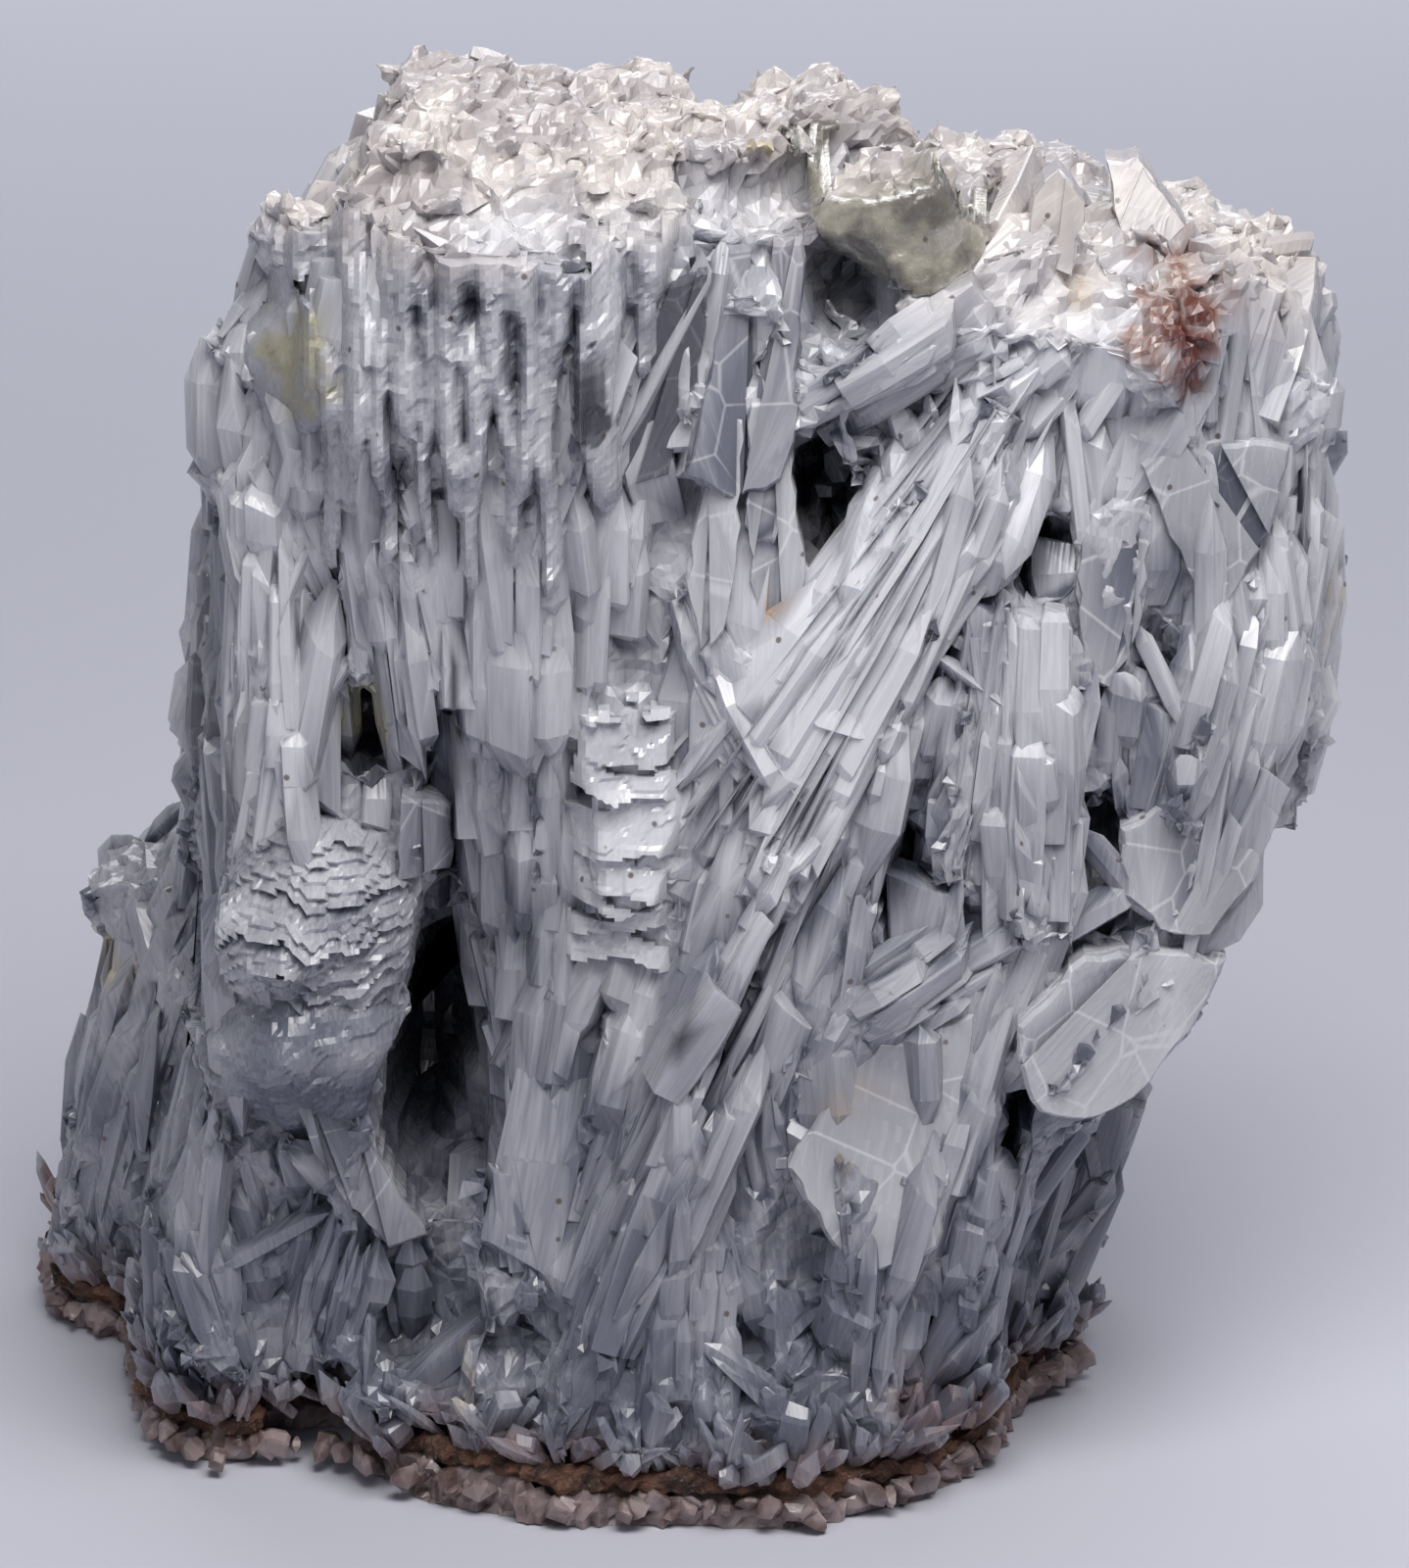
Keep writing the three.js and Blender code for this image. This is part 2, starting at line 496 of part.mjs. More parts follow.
function wavySlab(lowHeight, highHeight, flatLow) {
  const side = SLAB_STEPS + 1;
  const layer = side * side;
  const positions = [];
  for (const [height, wave] of [[lowHeight, flatLow ? 0 : 1], [highHeight, 1]]) {
    for (let corner = 0; corner < layer; corner += 1) {
      const x = ((corner % side) / SLAB_STEPS - 0.5) * 2 * SLAB_REACH;
      const y = (Math.floor(corner / side) / SLAB_STEPS - 0.5) * 2 * SLAB_REACH;
      positions.push(x, y, height + wave * seamWave(x, y));
    }
  }
  const index = [];
  for (let row = 0; row < SLAB_STEPS; row += 1) {
    for (let column = 0; column < SLAB_STEPS; column += 1) {
      const a = row * side + column;
      const [b, c, d] = [a + 1, a + side + 1, a + side];
      index.push(a, c, b, a, d, c);
      index.push(a + layer, b + layer, c + layer, a + layer, c + layer, d + layer);
    }
  }
  const rim = slabRim(side);
  rim.forEach((low, step) => {
    const next = rim[(step + 1) % rim.length];
    index.push(low, next, next + layer, low, next + layer, low + layer);
  });
  const geometry = new THREE.BufferGeometry();
  geometry.setAttribute('position', new THREE.Float32BufferAttribute(positions, 3));
  geometry.setIndex(index);
  return geometry;
}

// The corners around the edge of the slab's grid, in order

function slabRim(side) {
  const steps = Array.from({ length: SLAB_STEPS }, (_, step) => step);
  return [
    ...steps.map((step) => step),
    ...steps.map((step) => step * side + SLAB_STEPS),
    ...steps.map((step) => SLAB_STEPS * side + SLAB_STEPS - step),
    ...steps.map((step) => (SLAB_STEPS - step) * side),
  ];
}

// The specimen

function joinAll(geometries) {
  return geometries.map(toSolid).reduce((whole, next) => whole.add(next));
}

function lobeGeometries() {
  return [CENTRE_LOBE, LEFT_LOBE, REAR_LEFT_LOBE, REAR_RIGHT_LOBE, TOP_LEFT_LOBE].map(
    (rings, number) => lobe(rings, 11 + number),
  );
}

function bundleCrystals(lobes) {
  const vary = variation(5);
  const footFans = Array.from({ length: FOOT_FANS.count }, (_, step) => ({
    ...FOOT_FANS.crystals,
    x: FOOT_FANS.from + (step / (FOOT_FANS.count - 1)) * (FOOT_FANS.to - FOOT_FANS.from),
    lean: (vary() - 0.5) * 50,
  }));
  const rows = [
    [SIDES.front, [...FRONT_BUNDLES, ...footFans]],
    [SIDES.back, BACK_BUNDLES],
    [SIDES.left, LEFT_BUNDLES],
    [SIDES.right, RIGHT_BUNDLES],
  ];
  return rows.flatMap(([side, bundles]) => bundles.flatMap((spec) => bundle(lobes, side, spec, vary)));
}

function buildSolids() {
  const lobeShapes = lobeGeometries();
  const lobes = lobeShapes.map((geometry) => {
    geometry.computeVertexNormals();
    return new THREE.Mesh(geometry);
  });
  const vary = variation(29);
  const clefts = joinAll([CREVICE, FOOT_NOTCH].map(frontCut));
  const foot = joinAll(lobeShapes).subtract(clefts);
  const hollowed = foot.subtract(joinAll(RECESSES.map(frontCut)));
  const seamTop = SEAM_BASE_HEIGHT + SEAM_THICKNESS;
  const below = toSolid(wavySlab(-FAR, seamTop + TOUCH_GAP, true));
  const grown = joinAll([...bundleCrystals(lobes), ...LUMPS.map((spec) => lump(spec, vary))]);
  return {
    crystal_mass: hollowed.add(grown).subtract(clefts).subtract(below),
    rock_seam: foot.intersect(toSolid(wavySlab(SEAM_BASE_HEIGHT, seamTop, false))),
    footwall_crystals: foot.intersect(toSolid(wavySlab(0, SEAM_BASE_HEIGHT - TOUCH_GAP, true))),
  };
}

const MATERIALS = {
  crystal_mass: { color: '#b7bbc9', roughness: 0.32, metalness: 0 },
  rock_seam: { color: '#6a4436', roughness: 0.85, metalness: 0 },
  footwall_crystals: { color: '#cbbcba', roughness: 0.45, metalness: 0 },
};

const specimen = new THREE.Group();
for (const [name, solid] of Object.entries(buildSolids())) {
  const mesh = new THREE.Mesh(toGeometry(solid), new THREE.MeshStandardMaterial(MATERIALS[name]));
  mesh.name = name;
  mesh.position.copy(FRAME_SHIFT);
  specimen.add(mesh);
}

export default specimen;
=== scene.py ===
"""The celestite cluster: its crystals, crust, rock seam and the studio it stands in.

Sizes in the tables are millimetres in the specimen's own frame, as in the construction source: +Z is
up, the front faces -Y and +X is to the right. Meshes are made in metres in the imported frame.
"""

import json
import math
from collections import namedtuple

import bmesh
import bpy
import numpy as np
from bpy.props import FloatProperty, FloatVectorProperty, IntProperty, PointerProperty
from bpy.types import Operator, Panel, PropertyGroup
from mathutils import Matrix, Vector
from mathutils.bvhtree import BVHTree
from mathutils.kdtree import KDTree

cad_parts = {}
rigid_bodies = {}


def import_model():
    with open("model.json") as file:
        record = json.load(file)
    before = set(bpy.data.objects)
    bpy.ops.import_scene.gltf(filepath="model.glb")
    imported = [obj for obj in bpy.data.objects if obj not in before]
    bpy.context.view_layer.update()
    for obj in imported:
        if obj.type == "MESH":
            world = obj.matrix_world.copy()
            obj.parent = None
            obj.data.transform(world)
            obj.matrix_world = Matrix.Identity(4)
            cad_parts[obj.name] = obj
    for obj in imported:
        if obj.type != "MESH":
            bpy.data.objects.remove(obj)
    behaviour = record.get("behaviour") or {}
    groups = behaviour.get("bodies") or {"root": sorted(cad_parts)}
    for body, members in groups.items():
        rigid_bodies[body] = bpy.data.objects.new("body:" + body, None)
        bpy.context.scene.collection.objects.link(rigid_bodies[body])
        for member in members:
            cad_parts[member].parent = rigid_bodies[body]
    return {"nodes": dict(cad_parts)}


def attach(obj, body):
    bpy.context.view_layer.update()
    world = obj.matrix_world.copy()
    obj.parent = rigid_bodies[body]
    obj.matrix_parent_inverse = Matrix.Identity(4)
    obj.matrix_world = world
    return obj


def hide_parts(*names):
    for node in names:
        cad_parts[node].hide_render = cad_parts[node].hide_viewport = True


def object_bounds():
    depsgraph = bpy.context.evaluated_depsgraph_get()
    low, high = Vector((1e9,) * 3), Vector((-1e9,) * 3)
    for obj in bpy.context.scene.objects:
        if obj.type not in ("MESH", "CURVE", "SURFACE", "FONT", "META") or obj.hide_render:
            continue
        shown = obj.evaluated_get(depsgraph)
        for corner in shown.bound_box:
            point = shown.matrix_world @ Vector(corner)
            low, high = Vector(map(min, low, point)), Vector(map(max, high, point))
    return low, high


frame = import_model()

CAD_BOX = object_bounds()

bl_info = {
    "name": "Celestite cluster",
    "version": (1, 0, 0),
    "blender": (4, 5, 0),
    "location": "3D View > Sidebar > Celestite",
    "description": "Grows the crystals, crust and rock of a celestite specimen around its packed frame",
    "category": "Add Mesh",
}

MM = 0.001
FRAME_SHIFT = np.array((2.23, -4.52, 0.0))
BOX_MARGIN = 0.05

# The four upright sides that crystals are laid on: the way out, and the way to the right

Side = namedtuple("Side", "out right")
SIDES = {
    "front": Side(np.array((0.0, -1.0, 0.0)), np.array((1.0, 0.0, 0.0))),
    "back": Side(np.array((0.0, 1.0, 0.0)), np.array((-1.0, 0.0, 0.0))),
    "left": Side(np.array((-1.0, 0.0, 0.0)), np.array((0.0, -1.0, 0.0))),
    "right": Side(np.array((1.0, 0.0, 0.0)), np.array((0.0, 1.0, 0.0))),
}
UP = np.array((0.0, 0.0, 1.0))
FAR = 300.0

# Kinds of crystal, by the templates that a bundle draws from

LATH, PRISM, NEEDLE, LEAF, STEPPED, FLAKE = range(6)
VARIANTS = 4

# A bundle starts at x, z on its side, runs in the direction lean (degrees from up to the right) and
# widens from root to tip. count crystals of a width stand up to proud out of the skin. milk says how
# white they are, from 0 for clear blue-grey to 1 for frosty white.

Bundle = namedtuple("Bundle", "x z lean length root tip count width proud milk kind")

FRONT_BUNDLES = [
    # Hanging blades and the smooth column of the upper left
    Bundle(-25, 101, 184, 25, 8, 10, 26, 1.9, 2.6, 0.72, LATH),
    Bundle(-16, 101, 180, 27, 9, 9, 24, 2.2, 3.0, 0.80, LATH),
    Bundle(-9, 99, 184, 24, 5, 5, 7, 3.4, 3.2, 0.62, PRISM),
    Bundle(-3.5, 98, 178, 10, 4, 3.5, 5, 2.4, 2.8, 0.55, PRISM),
    Bundle(-31, 97, 184, 14, 7, 8, 14, 2.2, 2.4, 0.66, LEAF),
    Bundle(-31, 84, 182, 10, 7, 8, 12, 2.4, 2.0, 0.52, LEAF),
    Bundle(-36, 82, 184, 14, 4, 4, 9, 2.0, 1.6, 0.40, LATH),
    # Big blue plates and the diagonal bundle of the upper centre
    Bundle(7, 83.5, 56, 14, 6, 6, 16, 1.6, 3.2, 0.55, PRISM),
    Bundle(13.6, 75, -26, 12, 3, 5, 10, 1.8, 2.6, 0.30, LEAF),
    Bundle(16, 84, 60, 9, 6, 6, 10, 1.6, 2.6, 0.45, LATH),
    Bundle(18, 77, -10, 10, 5, 7, 12, 1.5, 2.4, 0.42, LEAF),
    # Vertical blades, the white fan and the left arm of its V
    Bundle(0.5, 65, 5, 20, 4, 3, 9, 1.8, 3.2, 0.80, NEEDLE),
    Bundle(5, 85, 180, 19, 5, 3, 9, 2.2, 3.4, 0.60, LATH),
    Bundle(22.5, 86, 211, 37, 4, 13, 22, 3.2, 2.9, 1.0, LATH),
    Bundle(22.5, 86, 211, 40, 4, 15, 110, 1.1, 4.0, 1.0, NEEDLE),
    Bundle(-1.5, 71, 153, 18, 4, 7, 10, 2.6, 2.4, 0.85, LATH),
    Bundle(-1.5, 71, 153, 18, 4, 7, 30, 1.0, 3.0, 0.85, NEEDLE),
    Bundle(8, 55, 205, 10, 8, 6, 20, 1.3, 3.8, 0.74, LATH),
    Bundle(15, 66, 194, 18, 4, 4, 9, 2.0, 3.6, 0.42, LEAF),
    Bundle(-14, 79, 181, 22, 9, 8, 22, 2.2, 2.8, 0.58, LATH),
    Bundle(-15, 60, 178, 19, 8, 6, 16, 2.2, 2.8, 0.50, LATH),
    # Smooth panels beside the terraces, and the pale diagonal blades
    Bundle(1, 67, 182, 19, 6, 6, 9, 3.0, 2.4, 0.30, LATH),
    Bundle(5.5, 51, 203, 28, 4, 4, 12, 1.8, 3.8, 0.66, LATH),
    Bundle(11, 38, 58, 11, 6, 6, 14, 1.5, 3.2, 0.66, LATH),
    Bundle(8, 33, 18, 23, 7, 6, 12, 2.6, 2.4, 0.28, LEAF),
    Bundle(-5, 44, 196, 16, 7, 6, 12, 2.2, 2.6, 0.46, LATH),
    # Long prisms, panels and plates right of the centre
    Bundle(25, 43.5, 0, 27, 7, 7, 14, 2.2, 3.4, 0.44, PRISM),
    Bundle(18, 47, 8, 23, 6, 5, 18, 1.6, 3.2, 0.40, NEEDLE),
    Bundle(22.5, 66, 2, 16, 5, 4, 10, 1.4, 2.6, 0.50, NEEDLE),
    Bundle(30.5, 61, 4, 20, 7, 6, 10, 2.6, 2.6, 0.26, LATH),
    Bundle(29.5, 53, 4, 11, 6, 5, 8, 2.2, 2.2, 0.16, LATH),
    Bundle(38, 86, 174, 17, 10, 4, 10, 3.0, 2.2, 0.40, LEAF),
    Bundle(40, 66, 24, 13, 3, 3, 4, 1.6, 2.4, 0.68, PRISM),
    Bundle(44, 56, 3, 24, 7, 7, 26, 1.4, 3.2, 0.80, NEEDLE),
    Bundle(37, 50, 14, 18, 9, 8, 18, 2.2, 3.2, 0.44, LATH),
    Bundle(33, 38, 36, 17, 9, 9, 14, 3.0, 3.2, 0.42, LEAF),
    Bundle(26, 29, 50, 19, 8, 11, 26, 2.0, 3.6, 0.52, LATH),
    Bundle(40, 78, 20, 14, 8, 8, 14, 1.8, 2.6, 0.62, STEPPED),
    # Slabs, hanging blades and block of the left lobe
    Bundle(-33, 53, 1, 21, 9, 7, 26, 1.7, 3.4, 1.25, PRISM),
    Bundle(-33, 70, 1, 8, 5, 4, 8, 1.8, 3.0, 1.2, PRISM),
    Bundle(-25, 82, 175, 27, 9, 9, 34, 1.5, 2.8, 0.62, LATH),
    Bundle(-40, 43, 7, 27, 4, 4, 10, 2.2, 1.8, 0.12, LATH),
    Bundle(-27, 57, 180, 9, 7, 7, 10, 1.8, 2.6, 0.30, STEPPED),
    Bundle(-21.5, 56, 180, 9, 5, 5, 7, 2.2, 3.2, 0.46, PRISM),
    Bundle(-35, 23, -24, 13, 4, 5, 9, 2.4, 2.6, 0.50, LEAF),
    Bundle(-27, 21, -34, 12, 3, 3, 7, 1.6, 3.0, 0.46, LATH),
    Bundle(-25, 15, 6, 17, 9, 8, 9, 3.6, 2.0, 0.20, LEAF),
    Bundle(-21, 12, -4, 12, 4, 5, 7, 2.2, 2.4, 0.40, LEAF),
    Bundle(-37, 6, -20, 16, 6, 9, 20, 1.6, 2.6, 0.46, LATH),
    Bundle(-30, 7, 14, 13, 5, 6, 16, 1.4, 2.4, 0.60, LEAF),
    # Lower centre, between the cavity and the great fan plate
    Bundle(-15.5, 12, -13, 26, 4, 4, 7, 2.6, 2.8, 0.16, LATH),
    Bundle(-12, 14, -8, 17, 5, 4, 8, 2.0, 3.4, 0.52, PRISM),
    Bundle(-8.5, 12, 24, 26, 6, 7, 28, 1.5, 3.8, 0.48, LATH),
    Bundle(-2, 8, 2, 18, 6, 7, 14, 2.2, 2.8, 0.34, LEAF),
    Bundle(12, 13, 8, 21, 4, 14, 22, 2.8, 3.6, 0.36, LATH),
    Bundle(6, 10, -10, 13, 4, 8, 16, 1.5, 2.4, 0.22, LEAF),
    Bundle(19.5, 12, 12, 17, 5, 6, 14, 1.8, 3.0, 0.42, LATH),
]

BACK_BUNDLES = [
    Bundle(-40, 60, -8, 26, 8, 9, 16, 2.2, 3.0, 0.5, LATH),
    Bundle(-28, 70, -14, 24, 8, 10, 26, 1.6, 3.4, 0.8, NEEDLE),
    Bundle(-2, 72, -10, 25, 8, 11, 18, 2.4, 3.6, 0.4, LATH),
    Bundle(12, 66, -18, 26, 7, 9, 16, 2.4, 3.0, 0.5, PRISM),
    Bundle(-16, 74, 4, 22, 9, 9, 14, 2.8, 3.0, 0.3, LEAF),
    Bundle(-32, 44, -20, 22, 7, 9, 18, 1.8, 3.0, 0.5, LATH),
    Bundle(-20, 40, -8, 28, 8, 10, 16, 2.6, 3.6, 0.3, LEAF),
    Bundle(-6, 36, 10, 27, 7, 11, 34, 1.4, 3.4, 0.9, NEEDLE),
    Bundle(22, 60, -10, 26, 7, 8, 14, 2.2, 3.0, 0.5, LATH),
    Bundle(30, 22, -6, 20, 9, 8, 16, 2.2, 2.6, 0.4, LATH),
    Bundle(42, 10, -10, 24, 9, 7, 16, 2.2, 2.4, 0.5, LEAF),
    Bundle(-20, 8, -12, 24, 8, 9, 18, 2.0, 2.6, 0.4, LATH),
    Bundle(-6, 7, 6, 26, 8, 10, 16, 2.6, 3.0, 0.3, PRISM),
    Bundle(8, 8, -8, 26, 8, 9, 18, 2.0, 2.8, 0.5, LATH),
    Bundle(20, 8, 4, 22, 8, 9, 14, 2.4, 3.0, 0.4, LEAF),
]

LEFT_BUNDLES = [
    # The clear blue slabs along the front edge
    Bundle(10, 39, 5, 27, 5, 6, 6, 4.5, 1.6, 0.02, LATH),
    Bundle(12, 58, 4, 26, 7, 8, 14, 2.2, 2.2, 0.5, LATH),
    Bundle(4, 52, -6, 26, 7, 8, 12, 2.6, 2.4, 0.2, LATH),
    Bundle(-6, 54, 6, 28, 8, 9, 18, 1.8, 2.2, 0.5, NEEDLE),
    Bundle(8, 84, 2, 16, 8, 7, 12, 2.2, 1.8, 0.5, LEAF),
    Bundle(-3, 82, -8, 17, 8, 8, 14, 2.0, 2.2, 0.6, LATH),
    Bundle(12, 8, 8, 24, 8, 8, 16, 2.0, 2.0, 0.4, LATH),
    Bundle(3, 10, -4, 24, 7, 9, 14, 2.2, 2.4, 0.5, PRISM),
    Bundle(-14, 6, 8, 24, 7, 8, 16, 2.0, 1.6, 0.6, LATH),
    Bundle(-24, 6, 2, 27, 8, 8, 16, 2.0, 1.8, 0.5, LEAF),
    Bundle(-33, 8, 6, 24, 6, 6, 12, 2.0, 1.6, 0.4, LATH),
]

RIGHT_BUNDLES = [
    Bundle(-10, 50, 4, 26, 8, 9, 16, 2.2, 2.4, 0.6, LATH),
    Bundle(2, 46, -6, 28, 9, 10, 26, 1.6, 2.6, 0.8, NEEDLE),
    Bundle(14, 48, 4, 28, 8, 10, 16, 2.4, 2.6, 0.4, LATH),
    Bundle(24, 52, -4, 24, 8, 8, 14, 2.2, 2.2, 0.5, LEAF),
    Bundle(-6, 76, 6, 16, 8, 8, 14, 1.8, 1.8, 0.5, LATH),
    Bundle(8, 74, -5, 17, 9, 9, 14, 2.2, 2.4, 0.4, PRISM),
    Bundle(0, 4, 6, 22, 8, 8, 16, 2.0, 2.0, 0.5, LATH),
    Bundle(12, 5, -4, 24, 8, 9, 16, 2.0, 2.2, 0.4, LEAF),
    Bundle(23, 6, 4, 22, 7, 7, 14, 2.0, 2.0, 0.5, LATH),
]

BUNDLES = {
    "front": FRONT_BUNDLES,
    "back": BACK_BUNDLES,
    "left": LEFT_BUNDLES,
    "right": RIGHT_BUNDLES,
}


# Settings


def colour_setting(name, description, default):
    return FloatVectorProperty(
        name=name, description=description, subtype="COLOR", size=3, min=0.0, max=1.0, default=default
    )


class ClusterSettings(PropertyGroup):
    """What a user would change on the specimen."""

    crystal_colour: colour_setting(
        "Crystal colour", "Clear blue-grey of the crystals' flat faces", (0.152, 0.16, 0.205)
    )
    # Painted shade: the colour that hollows and creases are darkened towards
    hollow_shade_colour: colour_setting(
        "Hollow colour", "Dark blue of clear crystal seen deep in a hollow", (0.025, 0.028, 0.042)
    )
    frost_colour: colour_setting(
        "Frost colour", "White of the fibrous and frosty crystals", (0.68, 0.68, 0.72)
    )
    crust_colour: colour_setting("Crust colour", "Cream white of the crust on top", (0.60, 0.555, 0.52))
    body_grain: FloatProperty(
        name="Body grain",
        description="Voxel size of the crystal body's mesh",
        subtype="DISTANCE",
        unit="LENGTH",
        default=0.8 * MM,
        min=0.4 * MM,
    )
    seed: IntProperty(name="Seed", description="Seed of the small variations", default=7, min=0)


# Small geometry helpers


def to_frame(points):
    """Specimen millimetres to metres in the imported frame."""
    return (np.asarray(points) + FRAME_SHIFT) * MM


def to_specimen(points):
    """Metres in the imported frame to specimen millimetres."""
    return np.asarray(points) / MM - FRAME_SHIFT


def unit(vector):
    """A vector made one long."""
    return vector / np.linalg.norm(vector)


def vectors_of(items, key="co"):
    """A vector of every element of a mesh, as rows."""
    flat = np.empty(len(items) * 3)
    items.foreach_get(key, flat)
    return flat.reshape(-1, 3)


def numbers_of(items, key):
    """A whole number of every element of a mesh."""
    flat = np.empty(len(items), dtype=np.int32)
    items.foreach_get(key, flat)
    return flat


def points_of(mesh):
    """A mesh's points in specimen millimetres."""
    return to_specimen(vectors_of(mesh.vertices))


def normals_of(mesh):
    """The normals at a mesh's points."""
    return vectors_of(mesh.vertices, "normal")


def set_points(mesh, points):
    """Moves a mesh's points to places in metres."""
    mesh.vertices.foreach_set("co", points.ravel())
    mesh.update()


def move_points(mesh, points):
    """Moves a mesh's points to places in specimen millimetres, held inside the construction model's
    box."""
    low, high = (np.array(corner) for corner in CAD_BOX)
    margin = BOX_MARGIN * MM
    set_points(mesh, np.clip(to_frame(points), low + margin, high - margin))


def mesh_of(form, name):
    """Turns a bmesh into a mesh and frees it."""
    mesh = bpy.data.meshes.new(name)
    form.to_mesh(mesh)
    form.free()
    return mesh


def set_float_attribute(mesh, name, values):
    """Gives every point of a mesh a number."""
    layer = mesh.attributes.new(name, "FLOAT", "POINT")
    layer.data.foreach_set("value", np.asarray(values, dtype=np.float32))


def add_object(name, data):
    """Makes an object of a mesh, a light or a camera and links it to the scene."""
    thing = bpy.data.objects.new(name, data)
    bpy.context.scene.collection.objects.link(thing)
    return thing


def evaluated_mesh(thing, name):
    """A plain mesh of a modified object."""
    graph = bpy.context.evaluated_depsgraph_get()
    mesh = bpy.data.meshes.new_from_object(thing.evaluated_get(graph))
    mesh.name = name
    return mesh


def shade(mesh, smooth):
    """Shades a mesh smooth or flat."""
    mesh.polygons.foreach_set("use_smooth", np.full(len(mesh.polygons), smooth))


MERGED_WITHIN = 0.001


def merged_copy(node_name):
    """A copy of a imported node's mesh with its shared corners merged."""
    mesh = frame["nodes"][node_name].data.copy()
    form = bmesh.new()
    form.from_mesh(mesh)
    bmesh.ops.remove_doubles(form, verts=form.verts, dist=MERGED_WITHIN * MM)
    form.to_mesh(mesh)
    form.free()
    mesh.materials.clear()
    return mesh


def remeshed(mesh, voxel, smoothing, shrink):
    """A mesh rebuilt at one grain size, softened and drawn in along its normals."""
    thing = add_object("remesh_work", mesh)
    modifier = thing.modifiers.new("grain", "REMESH")
    modifier.mode = "VOXEL"
    modifier.voxel_size = voxel
    if smoothing:
        soften = thing.modifiers.new("soften", "SMOOTH")
        soften.factor = 0.5
        soften.iterations = smoothing
    result = evaluated_mesh(thing, mesh.name + "_grained")
    bpy.data.objects.remove(thing)
    if shrink:
        set_points(result, vectors_of(result.vertices) - normals_of(result) * shrink)
    return result


def hashed(cells, channel):
    """Three repeatable numbers from 0 to 1 for each whole-number cell."""
    salts = np.array(((12.9898, 78.233, 37.719), (39.346, 11.135, 83.155), (73.156, 52.235, 9.151)))
    dots = cells @ salts.T + channel * 17.17
    return np.modf(np.abs(np.sin(dots) * 43758.5453))[0]


def facet_height(points, axes, cell):
    """The height of broken, tilted flats: each point takes the plane of its nearest cell.

    axes are the three directions of a cell and cell its three sizes. The result is from about -1
    to 1, and steps where one flat meets the next."""
    local = points @ np.asarray(axes).T / np.asarray(cell)
    home = np.floor(local)
    best = np.full(len(points), np.inf)
    height = np.zeros(len(points))
    for offset in np.ndindex(3, 3, 3):
        cells = home + np.array(offset) - 1
        seed = cells + 0.1 + 0.8 * hashed(cells, 0)
        gap = local - seed
        distance = np.einsum("ij,ij->i", gap, gap)
        tilt = hashed(cells, 1) * 2 - 1
        plane = np.einsum("ij,ij->i", gap, tilt) + (hashed(cells, 2)[:, 0] - 0.5)
        nearer = distance < best
        best = np.where(nearer, distance, best)
        height = np.where(nearer, plane, height)
    return np.clip(height, -1, 1)


def soft_noise(points, size, channel=0):
    """Smooth random numbers from 0 to 1 that change over about one size."""
    local = points / size
    home = np.floor(local)
    share = local - home
    share = share * share * (3 - 2 * share)
    total = np.zeros(len(points))
    for corner in np.ndindex(2, 2, 2):
        weight = np.prod(np.where(np.array(corner) > 0, share, 1 - share), axis=1)
        total += weight * hashed(home + np.array(corner), channel)[:, 0]
    return total


def smooth_step(value, low, high):
    """0 up to low and 1 from high on, or the other way round where low is the greater."""
    share = np.clip((value - low) / (high - low), 0, 1)
    return share * share * (3 - 2 * share)


# How far off the surface a ray starts, and how long the normal is beside its random way

LIFTED_START = 0.1
NORMAL_SHARE = 1.02


def closeness(tree, points, normals, reach, rays):
    """How shut in each point is by faces nearer than reach: 0 on a free edge, 1 deep in a crease."""
    rng = np.random.default_rng(9)
    starts = (points + normals * LIFTED_START).tolist()
    shut = np.zeros(len(starts))
    for _ in range(rays):
        ways = rng.normal(size=points.shape)
        ways = normals * NORMAL_SHARE + ways / np.linalg.norm(ways, axis=1)[:, None]
        for number, (start, way) in enumerate(zip(starts, ways.tolist())):
            distance = tree.ray_cast(start, way, reach)[3]
            if distance is not None:
                shut[number] += 1 - 0.5 * distance / reach
    return shut / rays


# Hollows of the front: middle (x, z), half width, half height, lean in degrees and depth. The body is pushed
# back into them, and finish_surface paints shade into them

Hollow = namedtuple("Hollow", "x z wide high lean depth")

